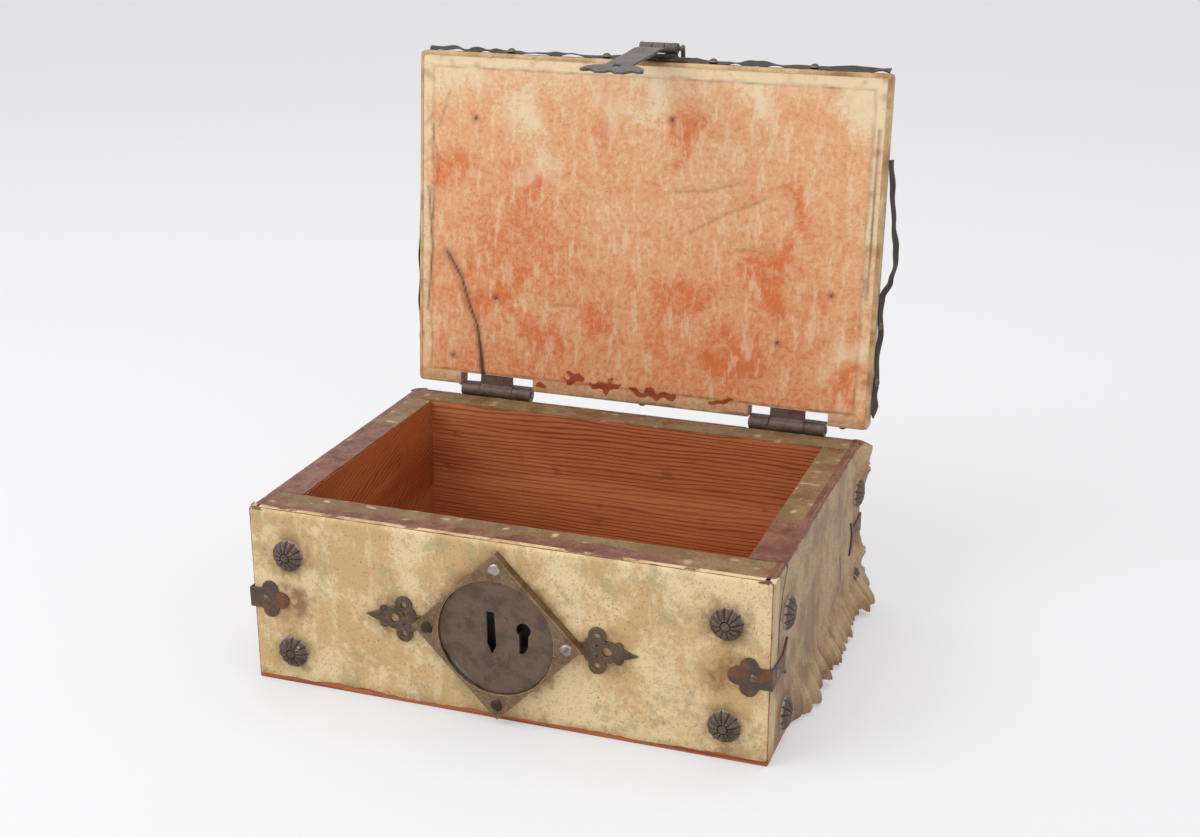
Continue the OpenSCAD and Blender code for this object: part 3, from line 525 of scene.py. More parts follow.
class CASKET_OT_stage(bpy.types.Operator):
    """Lay the pale floor, light it softly and set up the camera"""
    bl_idname = "casket.stage"
    bl_label = "Studio"

    def execute(self, context):
        settings = context.scene.casket_stage
        floor = grid("studio_floor", 2, 2, lambda u, v: (FLOOR * (u - 0.5), FLOOR * (v - 0.5), 0))
        # Pale paper: matt, and white where the camera or a reflection looks past the light
        material, tree, _ = new_material("studio_paper")
        shader = tree.nodes["Principled BSDF"]
        feed(tree, shader, {"Base Color": settings.floor_colour, "Roughness": 0.9,
                            "Specular IOR Level": 0.1})
        glow = add_node(tree, "Emission", {"Color": "#f6f6f8", "Strength": 1.0})
        share = total(tree, (seen_rays(tree), 0.4))
        mix = add_node(tree, "MixShader", {0: share, 1: shader.outputs[0], 2: glow})
        feed(tree, tree.nodes["Material Output"], {"Surface": mix})
        floor.data.materials.append(material)

        world = bpy.data.worlds.new("studio_air")
        context.scene.world = world
        world.use_nodes = True
        tree = world.node_tree
        light = tree.nodes["Background"]
        feed(tree, light, {"Color": "#ffffff", "Strength": 0.72})
        seen = add_node(tree, "Background", {"Color": "#f4f4f6", "Strength": 1.0})
        mix = add_node(tree, "MixShader", {0: seen_rays(tree), 1: light.outputs[0], 2: seen})
        feed(tree, tree.nodes["World Output"], {"Surface": mix})

        for name, spot, size, share in (("key_lamp", (-1100, -900, 1500), 1300, 1),
                                        ("fill_lamp", (1500, -900, 900), 1300, 0.18),
                                        ("top_lamp", (0, 300, 1900), 1400, 0.5)):
            bpy.ops.object.select_all(action="DESELECT")
            bpy.ops.object.light_add(type="AREA", location=Vector(spot) * MM)
            lamp = context.object
            lamp.name = name
            lamp.data.size = size * MM
            lamp.data.energy = settings.key_power * share
            aim = Vector((0, 0, 120)) - Vector(spot)
            lamp.rotation_euler = aim.to_track_quat("-Z", "Y").to_euler()

        bpy.ops.object.select_all(action="DESELECT")
        bpy.ops.object.camera_add(location=Vector((335.7, -894.4, 481.8)) * MM,
                                  rotation=(radians(90 - 19.8045), 0, radians(19.5296)))
        camera = context.object
        camera.name = "photo_camera"
        camera.data.sensor_width = 36
        camera.data.lens = settings.lens
        context.scene.camera = camera
        context.scene.view_settings.view_transform = "Standard"
        return {"FINISHED"}


class CASKET_OT_boards(bpy.types.Operator):
    """Dress the boards in aged pine"""
    bl_idname = "casket.boards"
    bl_label = "Boards"

    def execute(self, context):
        # Old resinous pine: red-orange ground, dark rings that run along each board
        dress(pine("back", "#bd6e42", "#7f3f20", "#cf8452", "X", 2.8), "back_board")
        dress(pine("side", "#a3582e", "#642b14", "#b86a3a", "Y", 3.0, 0.28),
              "left_board", "right_board")
        dress(pine("floor", "#a9603a", "#7d3d20", "#b8704a", "X", 3.6), "bottom_board")
        dress(pine("front", "#9b5636", "#743a24", "#ad6b48", "X", 3.4), "front_board")
        dress(pine("lid", "#9a5a38", "#6b341d", "#a96c4a", "X", 3.4), "lid_board")
        return {"FINISHED"}


def at_hinge(p, half, rear):
    """True behind rear and within half of the middle of a hinge."""
    return p.y > rear and min(abs(p.x - HINGE_X[0]), abs(p.x - HINGE_X[1])) < half


def in_notch(p):
    """True in the lid's two hinge notches, with the lid shut."""
    return at_hinge(p, NOTCH_HALF, NOTCH_Y)


def halo(point, spots, reach):
    """1 beside the nearest of some spots of (a, b, radius), fading to 0 over reach."""
    best = 0.0
    for a, b, r in spots:
        best = max(best, 1 - max(hypot(point[0] - a, point[1] - b) - r, 0) / reach)
    return best


class CASKET_OT_covers(bpy.types.Operator):
    """Wrap the chest in vellum: four sheets rounded over the rim, and worn turn-ins on top"""
    bl_idname = "casket.covers"
    bl_label = "Chest covers"

    def execute(self, context):
        side_skin = vellum("side", "#b39571", "#957658", "#7d6a50", "#5a4030", 0.6)
        skins = {"left": side_skin, "right": side_skin, "back": side_skin}
        skins["front"] = vellum("front", "#e3cc9f", "#cba976", "#b3a173", "#85623d", 0.62)
        rim_skin = vellum("rim", "#8d7552", "#7c6143", "#6c5c3f", "#4c3827", 0.58)
        sheets = {"front": self.front(), "right": self.right(), **self.plain()}
        rims = self.rims()
        for side in ("front", "left", "right", "back"):
            finish(sheets[side], skins[side], "cover_" + side)
            finish(rims[side], rim_skin, "cover_" + side)
        return {"FINISHED"}

    def front(self):
        """Ragged at the foot, stained round the ironwork, bare along the upright edges, painted
        shade at the foot.
        """
        iron = [(x, z, 8) for x in ROSETTE_X for z in (*ROSETTE_FRONT_Z, STRAP_Z)]
        iron += [(0, LOCK_Z, 34), (62, LOCK_Z, 8), (-62, LOCK_Z, 8)]
        front = face_sheet("front", (1, 0, 0), (0, -1, 0), (-SIDE_X, FRONT_Y, 0),
                           2 * SIDE_X, lambda s: 3.6 + 1.5 * rough_wave(s, 40, 1))
        cut_faces(front, lambda p: hypot(p.x, p.z - LOCK_Z) < LOCK_HOLE)
        thicken(front, SKIN)
        # Stains round the ironwork, and painted shade that darkens the sheet towards its foot
        paint(front, stain=lambda p: 0.75 * halo((p.x, p.z), iron, 9) * step(-p.y, 100, 108)
              + 0.5 * step(-p.z, -9, -2))
        paint(front, worn=lambda p: max(
            1.05 * step(p.x, 147.5, 149.6) * (0.55 + 0.45 * wave(p.z, 18, 4)),
            0.7 * step(p.y, -108.9, -106.5) * (0.6 + 0.6 * wave(p.x, 25, 6)),
            0.8 * step(-p.x, 147, 149.6)))
        return front

    def right(self):
        """Split and slit as dark lines of painted shade, with loose curls at the foot and the rear
        edge, and painted shade at the foot.
        """
        split = [(-82, 104), (-91, 92), (-96, 77), (-97, 62)]
        slit = [(53, 51), (57, 42), (59, 32)]
        seam = [(-97, 104), (-98, 60), (-97, 20), (-98, 3)]
        iron = [(-78, 20, 8), (-78, 79, 8), (-95, 51, 10), (97, 51, 9), (97, 79, 8)]

        def low(s):
            return (2.5 + 1.5 * rough_wave(s, 30, 2)
                    + 6 * step(s, 60, 120) * abs(rough_wave(s, 13, 9)))

        def spread(s, z):
            torn = step(s, 38, 75) * step(-z, -26 - 8 * wave(s, 21, 12), -4)
            torn *= 0.5 + 1.3 * abs(wave(s, 12, 11)) + 0.5 * abs(wave(s, 4, 15))
            rear = step(s, 196, 222) * (step(z, 62, 88) + 0.8 * step(-abs(z - 26), -22, -6))
            return 10.5 * torn + 8.5 * min(rear, 1) * (0.7 + 0.6 * wave(z, 9, 13))

        def past_edge(p):
            loose = 62 < p.z < 101 or 6 < p.z < 44
            return p.y > BACK_Y - 0.9 + 3.8 * rough_wave(p.z, 14, 21) * (1 if loose else 0.1)

        right = face_sheet("right", (0, 1, 0), (1, 0, 0), (SIDE_X, FRONT_Y + 0.2, 0),
                           BACK_Y - FRONT_Y + 5, low, corner=(3.0, 0), spread=spread,
                           columns=190, rows=90)
        cut_faces(right, past_edge)
        thicken(right, SKIN)
        # Streaks, stains round the iron, and painted shade that darkens the sheet towards its foot
        paint(right, stain=lambda p: 0.8 * step(0.35 + wave(p.y, 17, 5), 0.3, 0.9)
              + 0.6 * step(-p.z, -16, -3) + 0.8 * halo((p.y, p.z), iron, 8))
        paint(right, worn=lambda p: max(0.75 * step(p.z, 102, 104.8),
                                           0.6 * step(-p.y, 105.5, 109.3)))
        paint(right, fresh=lambda p: 0.85 * step(-p.y + 2 * wave(p.z, 20, 3), 94, 99)
              + 0.5 * step(p.x, 152, 156))
        # Painted shade: dark lines for the split, the slit and the gap of the seam at the front
        # corner
        paint(right, crack=lambda p: max(1.3 * near_line((p.y, p.z), split, 1.9),
                                            near_line((p.y, p.z), slit, 1.8),
                                            0.7 * near_line((p.y, p.z), seam, 1.2)))
        return right

    def plain(self):
        """Left and back sheets, guessed as the plain counterparts."""
        def low(s):
            return 2.8 + 1.4 * rough_wave(s, 34, 5)

        left = face_sheet("left", (0, -1, 0), (-1, 0, 0), (-SIDE_X, BACK_Y - 0.2, 0),
                          BACK_Y - FRONT_Y - 0.4, low, columns=150, rows=70)
        back = face_sheet("back", (-1, 0, 0), (0, 1, 0), (SIDE_X, BACK_Y, 0),
                          2 * SIDE_X, low, lip=2.0, columns=200, rows=70)
        cut_faces(back, lambda p: p.z > RIM_Z - 6.4 and at_hinge(p, POCKET_HALF, 0))
        for sheet in (left, back):
            thicken(sheet, SKIN)
            # Streaks, and painted shade that darkens the sheets towards their foot
            paint(sheet, stain=lambda p: 0.6 * step(0.2 + wave(p.y + p.x, 21, 8), 0.2, 0.9)
                  + 0.6 * step(-p.z, -14, -3), worn=lambda p: 0.6 * step(p.z, 103, 105))
        return {"left": left, "back": back}

    def rims(self):
        """Turn-ins on the rim: olive where the skin is whole, maroon where it is rubbed through."""
        top = RIM_Z - 0.06
        corner_x, corner_y = SIDE_X - 1.7, FRONT_Y + 1.7
        short = (CAVITY_FRONT + 0.2, CAVITY_BACK - 0.2)

        def worn_front(p):
            band = (11.5 + 7 * wave(p.x, 42, 1) + 4 * wave(p.x, 11, 2)
                    + 5 * step(-abs(p.x - 15), -80, -20))
            band -= 9 * step(p.x, 92, 116)
            return 1 - step(p.y - FRONT_Y, band - 1.5, band + 1.5)

        rims = {}
        for side, (x0, x1), (y0, y1), cells, out, seed, worn in (
                ("front", (-corner_x, corner_x), (corner_y, CAVITY_FRONT), (220, 20), (0, -1), 3,
                 worn_front),
                ("left", (-corner_x, -CAVITY_X), short, (16, 130), (-1, 0), 4,
                 lambda p: 1 - step(p.y + 9 * wave(p.x, 8, 5), 30, 40)),
                ("right", (CAVITY_X, corner_x), short, (16, 130), (1, 0), 6,
                 lambda p: 1 - step(p.y + 9 * wave(p.x, 8, 7), -32, -22)),
                ("back", (-corner_x, corner_x), (CAVITY_BACK, BACK_Y - 1.9), (220, 16), (0, 1), 8,
                 lambda p: 0.35 * step(wave(p.x, 30, 9), 0.2, 0.5))):

            def place(u, v):
                x, y = x0 + u * (x1 - x0), y0 + v * (y1 - y0)
                # Only the row beside the opening is frayed
                if (u if out[0] else v) == (0 if sum(out) > 0 else 1):
                    fray = 0.5 + 0.5 * wave(y if out[0] else x, 9, seed)
                    x, y = x + out[0] * fray, y + out[1] * fray
                return (x, y, top + 0.1 * bumps(x, y, 9, 1))

            rim = grid("vellum_" + side + "_rim", *cells, place)
            if side == "back":
                cut_faces(rim, lambda p: at_hinge(p, POCKET_HALF, POCKET_Y))
            rims[side] = thicken(rim, RIM_SKIN)
            paint(rim, worn=worn, stain=lambda p: 0.8 * step(bumps(p.x, p.y, 13, 5), 0, 0.4),
                  fresh=lambda p: 0.9 * step(noise.noise((p.x / 7, p.y / 5, 8)), 0.42, 0.55))
        return rims


def stops(marks, gap):
    """Places from the first mark to the last, about gap apart, with every mark among them."""
    places = [marks[0]]
    for low, high in zip(marks, marks[1:]):
        count = max(round((high - low) / gap), 1)
        places += [low + (high - low) * i / count for i in range(1, count + 1)]
    return places


def lay_open(piece):
    """Turn a piece made in closed-lid place into the open place of the photograph."""
    for v in piece.data.vertices:
        v.co = (OPEN_LID @ (v.co / MM)) * MM
    return piece


class CASKET_OT_lid(bpy.types.Operator):
    """Skin the lid: a wrapped cover, and the inner face with its crack and wrinkles"""
    bl_idname = "casket.lid"
    bl_label = "Lid covers"

    def execute(self, context):
        marks = [h + s for h in sorted(HINGE_X) for s in (-NOTCH_HALF, NOTCH_HALF)]
        self.wrap(marks)
        self.lining(marks)
        return {"FINISHED"}

    def wrap(self, marks):
        """Cover over the top and round the edges, turned in underneath."""
        low, high = LID_LOW, LID_HIGH
        xs = stops([low.x + LID_ROUND, *marks, high.x - LID_ROUND], 2.2)
        ys = stops([low.y + LID_ROUND, NOTCH_Y, high.y - LID_ROUND], 2.2)
        # Rings from the inner face round the edge to the top: how far in, and how high
        rings = [(2.4, 0.0), (1.5, 0.04), (0.75, 0.3), (0.2, 0.8), (0.0, 1.6), (0.0, 4.0),
                 (0.0, 7.0), (0.0, 9.8), (0.25, 10.9), (0.9, 11.6), (1.9, 11.95)]
        count = len(rings)
        columns, rows = len(xs) - 1 + 2 * count, len(ys) - 1 + 2 * count

        def wrapped(u, v):
            i, j = round(u * columns), round(v * rows)
            ring = min(i, columns - i, j, rows - j)
            inset, rise = rings[ring] if ring < count else (LID_ROUND, LID_THICK)

            def along(k, last, places, start, end):
                """Place of line k: on the top's grid, or spread evenly over the rings."""
                if k < count:
                    first = start + inset
                    return first + (places[0] - first) * (k - ring) / (count - ring)
                if k > last - count:
                    first = end - inset
                    return first - (first - places[-1]) * (last - k - ring) / (count - ring)
                return places[k - count]

            x = along(i, columns, xs, low.x, high.x)
            y = along(j, rows, ys, low.y, high.y)
            # Round the corners of the plan
            r = LID_ROUND - inset * 0.6
            for cx, sx in ((low.x + inset + r, -1), (high.x - inset - r, 1)):
                for cy, sy in ((low.y + inset + r, -1), (high.y - inset - r, 1)):
                    if (x - cx) * sx > 0 and (y - cy) * sy > 0 and ring < count:
                        far = max(abs(x - cx), abs(y - cy))
                        size = hypot(x - cx, y - cy)
                        x, y = cx + (x - cx) * far / size, cy + (y - cy) * far / size
            lump = 0.25 * noise.noise((x / 11, y / 11, rise / 6))
            if inset > 0:
                return (x, y, low.z + rise + (lump if ring >= count else 0))
            # The upright edge is lumpy inwards only
            sx = -1 if abs(x - low.x) < 0.01 else 1 if abs(x - high.x) < 0.01 else 0
            sy = -1 if abs(y - low.y) < 0.01 else 1 if abs(y - high.y) < 0.01 else 0
            return (x - abs(lump) * sx, y - abs(lump) * sy, low.z + rise)

        shell = grid("vellum_lid_wrap", columns, rows, wrapped)
        cut_faces(shell, in_notch)
        thicken(shell, LID_SKIN)
        paint(shell, stain=lambda p: 0.7 * step(
            noise.noise((p.x / 16, p.y / 16, p.z / 8)), 0.05, 0.5))
        paint(shell, worn=lambda p: 0.75 * step(
            noise.noise((p.x / 20, p.y / 20, p.z / 5)), 0.15, 0.45)
            * step(-abs(p.z - low.z - 6), -6, -2) * step(low.z + 10.5 - p.z, 0, 1))
        skin = vellum("lid_outer", "#d3b184", "#b98f64", "#a98c62", "#7d5636")
        finish(lay_open(shell), skin, "lid_cover")

    def lining(self, marks):
        """Inner face: the board's crack shows through the puckered skin, the border steps up;
        painted shade darkens the crack, tears, holes, creases and the border's step.
        """
        low, high = LID_LOW, LID_HIGH
        crack = [(-127.7, 20.9), (-122, 29.5), (-117, 38), (-112.6, 51.6), (-106, 68),
                 (-103.8, 80.5), (-101.4, 99.7)]
        creases = [[(24.7, -28.3), (45, -30.5), (67.7, -37.5)],
                   [(34.7, -4.5), (58, -18), (80.7, -27.6)], [(63.6, 4.2), (85.5, 3.5)],
                   [(-55.2, 49.5), (-38.9, 48.6)], [(-126.6, -81.6), (-133.3, -59.4)],
                   [(-139.5, -60), (-134, -35), (-138, 0)]]
        tears = [[(147, -73.4), (146.5, -14.7), (145.8, 27.4)],
                 [(-141, -20), (-138, 20), (-141, 60)]]
        pale = [(-113, -91.6), (-78.7, -65.8), (-61.4, -38.9), (-19.4, -69.3), (12.1, -86.1),
                (146.2, -84.9), (138.3, 58.8), (80, -87), (134, -90)]
        red = [(-133.1, -30.9), (-64.5, -29.4), (-25.7, -62.8), (32.3, -57.4), (-90.3, 49.5),
               (-69.2, 67.1), (-21.7, 62.4), (30.2, 38.2), (86.8, 26.8), (57.3, 67.2),
               (102.1, -29.2), (91.8, 4.8), (145.2, 70.5)]
        holes = [(-93.1, 48.5), (20.3, -71.7), (-108.6, -65.2), (124.5, 27), (93.1, 59.1),
                 (-122.9, 89.2)]
        bald = [(-37.6, 95.4, 4), (-17.2, 97.7, 5), (6.4, 99.7, 4), (19.7, 100.2, 5), (60, 99, 4),
                (-63, 103, 3)]

        def border(x, y):
            """Signed distance outside the lining's wavering edge."""
            return 0.8 * wave(x + y, 17, 3) + max(LINING_LOW.x - x, x - LINING_HIGH.x,
                                                  LINING_LOW.y - y, y - LINING_HIGH.y)

        xs = stops([low.x + BORDER_IN, *marks, high.x - BORDER_IN], 1.25)
        ys = stops([low.y + BORDER_IN, NOTCH_Y, high.y - BORDER_IN], 1.25)
        columns, rows = len(xs) - 1, len(ys) - 1

        def inner(u, v):
            x, y = xs[columns - round(u * columns)], ys[round(v * rows)]
            in_edge = min(x - low.x, high.x - x, y - low.y, high.y - y)
            dent = 0.55 * near_line((x, y), crack, 2.2)
            for line in creases:
                near = near_line((x, y), line, 4.5)
                dent += 0.4 * near * (0.5 + 0.5 * cos(near * 9))
            dent += 0.16 * (0.5 + 0.5 * bumps(x, y, 15, 2))
            dent += 0.1 * (0.5 + 0.5 * bumps(x, y, 4, 3))
            dent += 0.3 * step(border(x, y), -0.6, 0.6)
            for a, b in holes:
                dent += 0.5 * max(0, 1 - hypot(x - a, y - b) / 1.6)
            dent += 0.9 * step(-in_edge, -2.0, -0.4)
            return (x, y, low.z - 0.1 + dent)

        face = grid("vellum_lid_inner_face", columns, rows, inner)
        cut_faces(face, in_notch)
        thicken(face, LINING_SKIN)

        def near_spots(p, spots, reach):
            return max(0.0, 1 - near_miss(p, spots) / reach)

        def drift(p, size):
            """The place moved about by noise, so that spots get uneven outlines."""
            q = p / size
            return Vector((p.x + size * 0.9 * noise.noise(q),
                           p.y + size * 0.9 * noise.noise(q + Vector((9, 5, 2))), p.z))

        def flush(p):
            q = drift(drift(p, 24), 7)
            heat = 0.42 + 0.25 * step(p.y, -60, 80)
            heat += 0.6 * near_spots(q, red, 17) - 0.5 * near_spots(q, pale, 20)
            heat += 0.25 * step(-abs(p.x + 75), -60, -20) * step(-abs(p.y), -60, -10)
            return heat - 0.42 * step(border(p.x, p.y), -1, 1) - 0.2 * step(-p.y, 70, 95)

        def stain(p):
            mould = step(bumps(p.x, p.y, 8, 4), 0.2, 0.6)
            return max(0.9 * near_spots(p, holes, 4), 0.45 * mould * step(border(p.x, p.y), -1, 1),
                       0.5 * step(p.y, 96, 106), 0.6 * near_line((p.x, p.y), crack, 5))

        def worn(p):
            q = drift(p, 6)
            spots = [max(0, 1.25 - hypot((q.x - a) / 2.4, q.y - b) / r) for a, b, r in bald]
            return max(spots + [0.55 * step(p.y, 102, 107)])

        # Painted shade, kept in the crack layer: dark lines in the crack, the tears and the holes,
        # along the border's step and in the creases
        def dark(p):
            spot = (p.x, p.y)
            edge = max(0, 1 - abs(border(*spot)) / 1.1) * (0.6 + 0.6 * wave(p.x - p.y, 12, 6))
            return min(1, step(near_line(spot, crack, 1.3 + 1.8 * step(p.y, 60, 100)), 0.2, 0.9)
                       + 0.8 * max(near_line(spot, line, 1.2) for line in tears) + 0.75 * edge
                       + 0.3 * max(near_line(spot, line, 1.6) for line in creases)
                       + max(0, 1.3 - near_miss(p, holes)))

        def rubbed(p):
            return 0.7 * near_spots(drift(drift(p, 18), 5), pale, 13) + 0.2 * step(-p.y, 84, 104)

        paint(face, flush=flush, pale=rubbed, stain=stain, worn=worn, crack=dark)
        finish(lay_open(face), flushed_lining(), "lid_lining", angle=50)


def near_miss(point, spots):
    """Distance to the nearest spot."""
    return min(hypot(point.x - a, point.y - b) for a, b in spots)


def turned(name, spokes, steps, profile):
    """Round closed solid: profile(angle, v) gives radius and height from top to underside."""
    def place(u, v):
        a = u * 2 * pi
        r, z = profile(a, v)
        return (r * cos(a), r * sin(a), z)
    piece = grid(name, spokes, steps, place)
    tidy_mesh(piece, 0.01)
    return piece


def set_on(piece, name, spots):
    """Join copies of one piece, each with its own mesh, turned and set at (place, turn matrix)."""
    copies = []
    for place, turn in spots:
        pick(piece)
        bpy.ops.object.duplicate()
        copy = bpy.context.object
        for v in copy.data.vertices:
            v.co = (turn @ v.co) + Vector(place) * MM
        copies.append(copy)
    bpy.data.objects.remove(piece)
    return join(copies, name)


def facing(x, y, z, spin=0.0):
    """Turn that points +Z of a piece along (x, y, z), after a spin about it, in degrees."""
    turn = Matrix.Rotation(radians(spin), 3, "Z")
    return Vector((x, y, z)).to_track_quat("Z", "Y").to_matrix() @ turn


def rosette():
    """Chased nail head: twelve deep flutes between rounded petals, and a small boss."""
    def profile(a, v):
        petal = abs(cos(6 * a)) ** 0.55
        if v < 0.8:
            t = v / 0.8
            r = (ROSETTE_RADIUS - 0.75 * (1 - petal)) * t
            if t < 0.28:
                rise = 3.8 + 0.9 * sqrt(1 - (t / 0.28) ** 2)
            elif t < 0.3:
                rise = 3.4
            else:
                rise = 4.3 * (1 - t ** 2.6) ** 0.55
                rise -= 1.15 * (1 - petal) * step(t, 0.28, 0.42) * (1 - 0.35 * t)
            return r, max(rise, 0.35 if t > 0.9 else 0.5)
        return ROSETTE_RADIUS * (1 - (v - 0.8) / 0.2), 0.0
    return turned("rosette", 144, 30, profile)


def nail_head(radius, height, seed):
    """Hand-forged nail head: a low lopsided dome."""
    def profile(a, v):
        out = radius * (1 + 0.07 * sin(3 * a + seed) + 0.04 * sin(5 * a + 2 * seed))
        if v < 0.75:
            t = v / 0.75
            dent = 0.06 * bumps(t * cos(a), t * sin(a), 1 / 3, seed)
            return out * t, height * (1 - t ** 2.2) ** 0.6 + dent
        return out * (1 - (v - 0.75) / 0.25), -0.2
    return turned("nail_head", 32, 12, profile)


class CASKET_OT_nails(bpy.types.Operator):
    """Fluted rosettes and small domed nail heads"""
    bl_idname = "casket.nails"
    bl_label = "Rosettes and nails"

    def execute(self, context):
        # Chased iron, blackened by oil and handling, with brown rust between the flutes
        dark = forged_iron("blackened_rosette", "#5d4c44", "#48362c", "#a39488",
                           0.4, 0.42, 0.25, 1.0)
        spots = {"front": [((x, FRONT_Y - 0.15, z), facing(0, -1, 0, x + z))
                           for x in ROSETTE_X for z in ROSETTE_FRONT_Z]}
        for name, side in (("right", 1), ("left", -1)):
            spots[name] = [((side * (SIDE_X + 0.15), y, z), facing(side, 0, 0, y + z))
                           for y in ROSETTE_Y for z in ROSETTE_SIDE_Z]
        for name, places in spots.items():
            node = "rosettes_" + name
            finish(set_on(rosette(), "iron_" + node, places), dark, node)

        # Lock nails: silvery iron, the top and the right one left bright, the left and the bottom
        # one painted darker
        bright = forged_iron("bright_nail", "#a39a92", "#6f5f52", "#d9d4cd",
                             0.75, 0.34, 0.15, 0.4)
        reach = (FRAME_HIGH.x - FRAME_LOW.x) / 2 - 8.8
        places = [((dx * reach, FRAME_LOW.y - 0.1, LOCK_Z + dz * reach),
                   facing(0, -1, 0, 40 * dx + 70 * dz))
                  for dx, dz in ((0, 1), (1, 0), (0, -1), (-1, 0))]
        heads = set_on(nail_head(3.4, 1.5, 1.0), "iron_lock_nails", places)
        paint(heads, soot=lambda p: 1.0 if p.x < -20 or p.z < LOCK_Z - 20 else 0.0)
        finish(heads, bright, "lock_nails")

        small = forged_iron("small_nail", "#6b5d52", "#4c3628", "#aa9d8e", 0.5, 0.42, 0.2, 0.5)
        strap = [((side * (SIDE_X - 9), y + 1.2 * out, STRAP_Z), facing(0, out, 0))
                 for y, out in ((FRONT_Y, -1), (BACK_Y, 1)) for side in (-1, 1)]
        strap += [((side * (SIDE_X + 1.2), y, STRAP_Z), facing(side, 0, 0)) for side in (-1, 1)
                  for y in (FRONT_Y + 9, BACK_Y - 9)]
        heads = set_on(nail_head(2.2, 1.3, 2.0), "iron_strap_nails", strap)
        finish(heads, small, "corner_strap_nails")
        return {"FINISHED"}


def ribbon(name, middle, width, lean, length, thickness=0.7, steps=160):
    """Thin iron strip along the centre line middle(s), turned about it by lean(s) in degrees."""
    def place(u, v):
        s = u * length
        here, ahead = Vector(middle(s)), Vector(middle(s + 0.5))
        run = (ahead - here).normalized()
        up = Vector((0, 0, 1))
        across = (up - run * up.dot(run)).normalized()
        turn = Matrix.Rotation(radians(lean(s)), 3, run)
        return tuple(here + turn @ across * (v - 0.5) * width(s))
    return thicken(grid("iron_edging_" + name, steps, 6, place), thickness)


class CASKET_OT_edging(bpy.types.Operator):
    """Thin wavy iron strips round the lid's edge, one of them sprung loose"""
    bl_idname = "casket.edging"
    bl_label = "Lid edging"

    def execute(self, context):
        strip = forged_iron("thin_edging", "#3a312b", "#33271f", "#5f564e", 0.2, 0.5, 0.2, 0.5)
        low, high = LID_LOW, LID_HIGH
        level = high.z - 2.1

        nails = [x - low.x - 3 for x in STRIP_NAILS_X]

        def free(s):
            """0 at a nail, 1 from 12 mm away."""
            return min(min(abs(s - n) for n in nails) / 12, 1)

        front = ribbon("front",
                       lambda s: (low.x + 3 + s,
                                  low.y - 0.8 - 1.5 * free(s) * (0.6 + 0.9 * wave(s, 11, 1)),
                                  level - 0.8 + 1.2 * wave(s, 14, 2) * free(s)),
                       lambda s: 4.6 + 0.9 * wave(s, 8, 3),
                       lambda s: 25 + 50 * wave(s, 9, 4) * free(s),
                       high.x - low.x - 6, steps=240)
        finish(lay_open(front), strip, "edge_strip_front")
        back = ribbon("back",
                      lambda s: (high.x - 3 - s, high.y + 0.55 + 0.3 * wave(s, 20, 5), level),
                      lambda s: 3.9, lambda s: 8 * wave(s, 15, 6), high.x - low.x - 6)
        finish(lay_open(back), strip, "edge_strip_back")
        # The left strip is in two lengths, and the solid covers only the lower one
        left_low, left_high = closed_box("edge_strip_left")
        start = left_low.y - 3
        tight = ribbon("left_upper",
                       lambda s: (low.x - 0.9 - 0.4 * wave(s, 12, 7), start - s, level - 1.4),
                       lambda s: 4.4 + 0.6 * wave(s, 9, 9), lambda s: -15 + 25 * wave(s, 13, 11),
                       start - low.y - 2.5)
        loose = ribbon("left_lower",
                       lambda s: (low.x - 1.8 - 2.0 * step(wave(s, 30, 7), -0.4, 0.3),
                                  left_high.y - s, level - 1.2 + 0.8 * wave(s, 18, 8)),
                       lambda s: 4.6 + 0.8 * wave(s, 8, 9), lambda s: -20 + 30 * wave(s, 12, 10),
                       left_high.y - left_low.y)
        left = join([tight, loose], "iron_edging_left")
        finish(lay_open(left), strip, "edge_strip_left")

        # The right strip has sprung off: it bows out, comes back and ends in a pointed plate
        right_low, right_high = closed_box("edge_strip_right")
        bow = [(0, 0.6), (18, 2.6), (38, 4.9), (52, 7.0), (62, 7.6), (72, 5.4), (82, 1.0),
               (92, 0.8), (104, 1.6), (118, 0.6), (132, 1.2), (146, 0.7), (160, 0.7)]

        def bowed(s):
            for (a, x), (b, y) in zip(bow, bow[1:]):
                if s <= b:
                    return x + (y - x) * step(s, a, b)
            return bow[-1][1]

        def plate_width(s):
            tip = 157.5 - s
            if tip > 16:
                return 3.6 + 0.5 * wave(s, 9, 11)
            return max(0.3, 3.6 + 3.6 * step(-tip, -16, -8) if tip > 7 else 7.2 * tip / 7)

        right = ribbon("right",
                       lambda s: (high.x + 0.9 + bowed(s), right_low.y + s,
                                  level - 1.0 + 0.8 * wave(s, 14, 12)),
                       plate_width, lambda s: 35 + 40 * wave(s, 14, 13),
                       right_high.y - right_low.y, thickness=1.0, steps=220)
        finish(lay_open(right), strip, "edge_strip_right")

        heads = [((x, low.y - 1.4, level), facing(0, -1, 0)) for x in STRIP_NAILS_X]
        heads += [((x, high.y + 1.2, level), facing(0, 1, 0)) for x in (-120, 5, 135)]
        heads += [((x, low.y + d, level), facing(side, 0, 0))
                  for x, side in ((low.x - 1.0, -1), (high.x + 1.6, 1)) for d in (150, 185)]
        small = forged_iron("edging_nail", "#54483e", "#43342a", "#8d8275",
                            0.4, 0.42, 0.2, 0.5)
        nails = lay_open(set_on(nail_head(2.7, 2.0, 4.0), "iron_edging_nails", heads))
        finish(nails, small, "edge_strip_nails")
        return {"FINISHED"}


def forge(node, material, voxel, rounds, *blows):
    """Wear down a copy of a CAD node, and hammer it to blows of a depth, size and seed."""
    piece = soften(copy_node(node), voxel, rounds)
    if blows:
        hammer(piece, *blows)
    finish(piece, material, node)


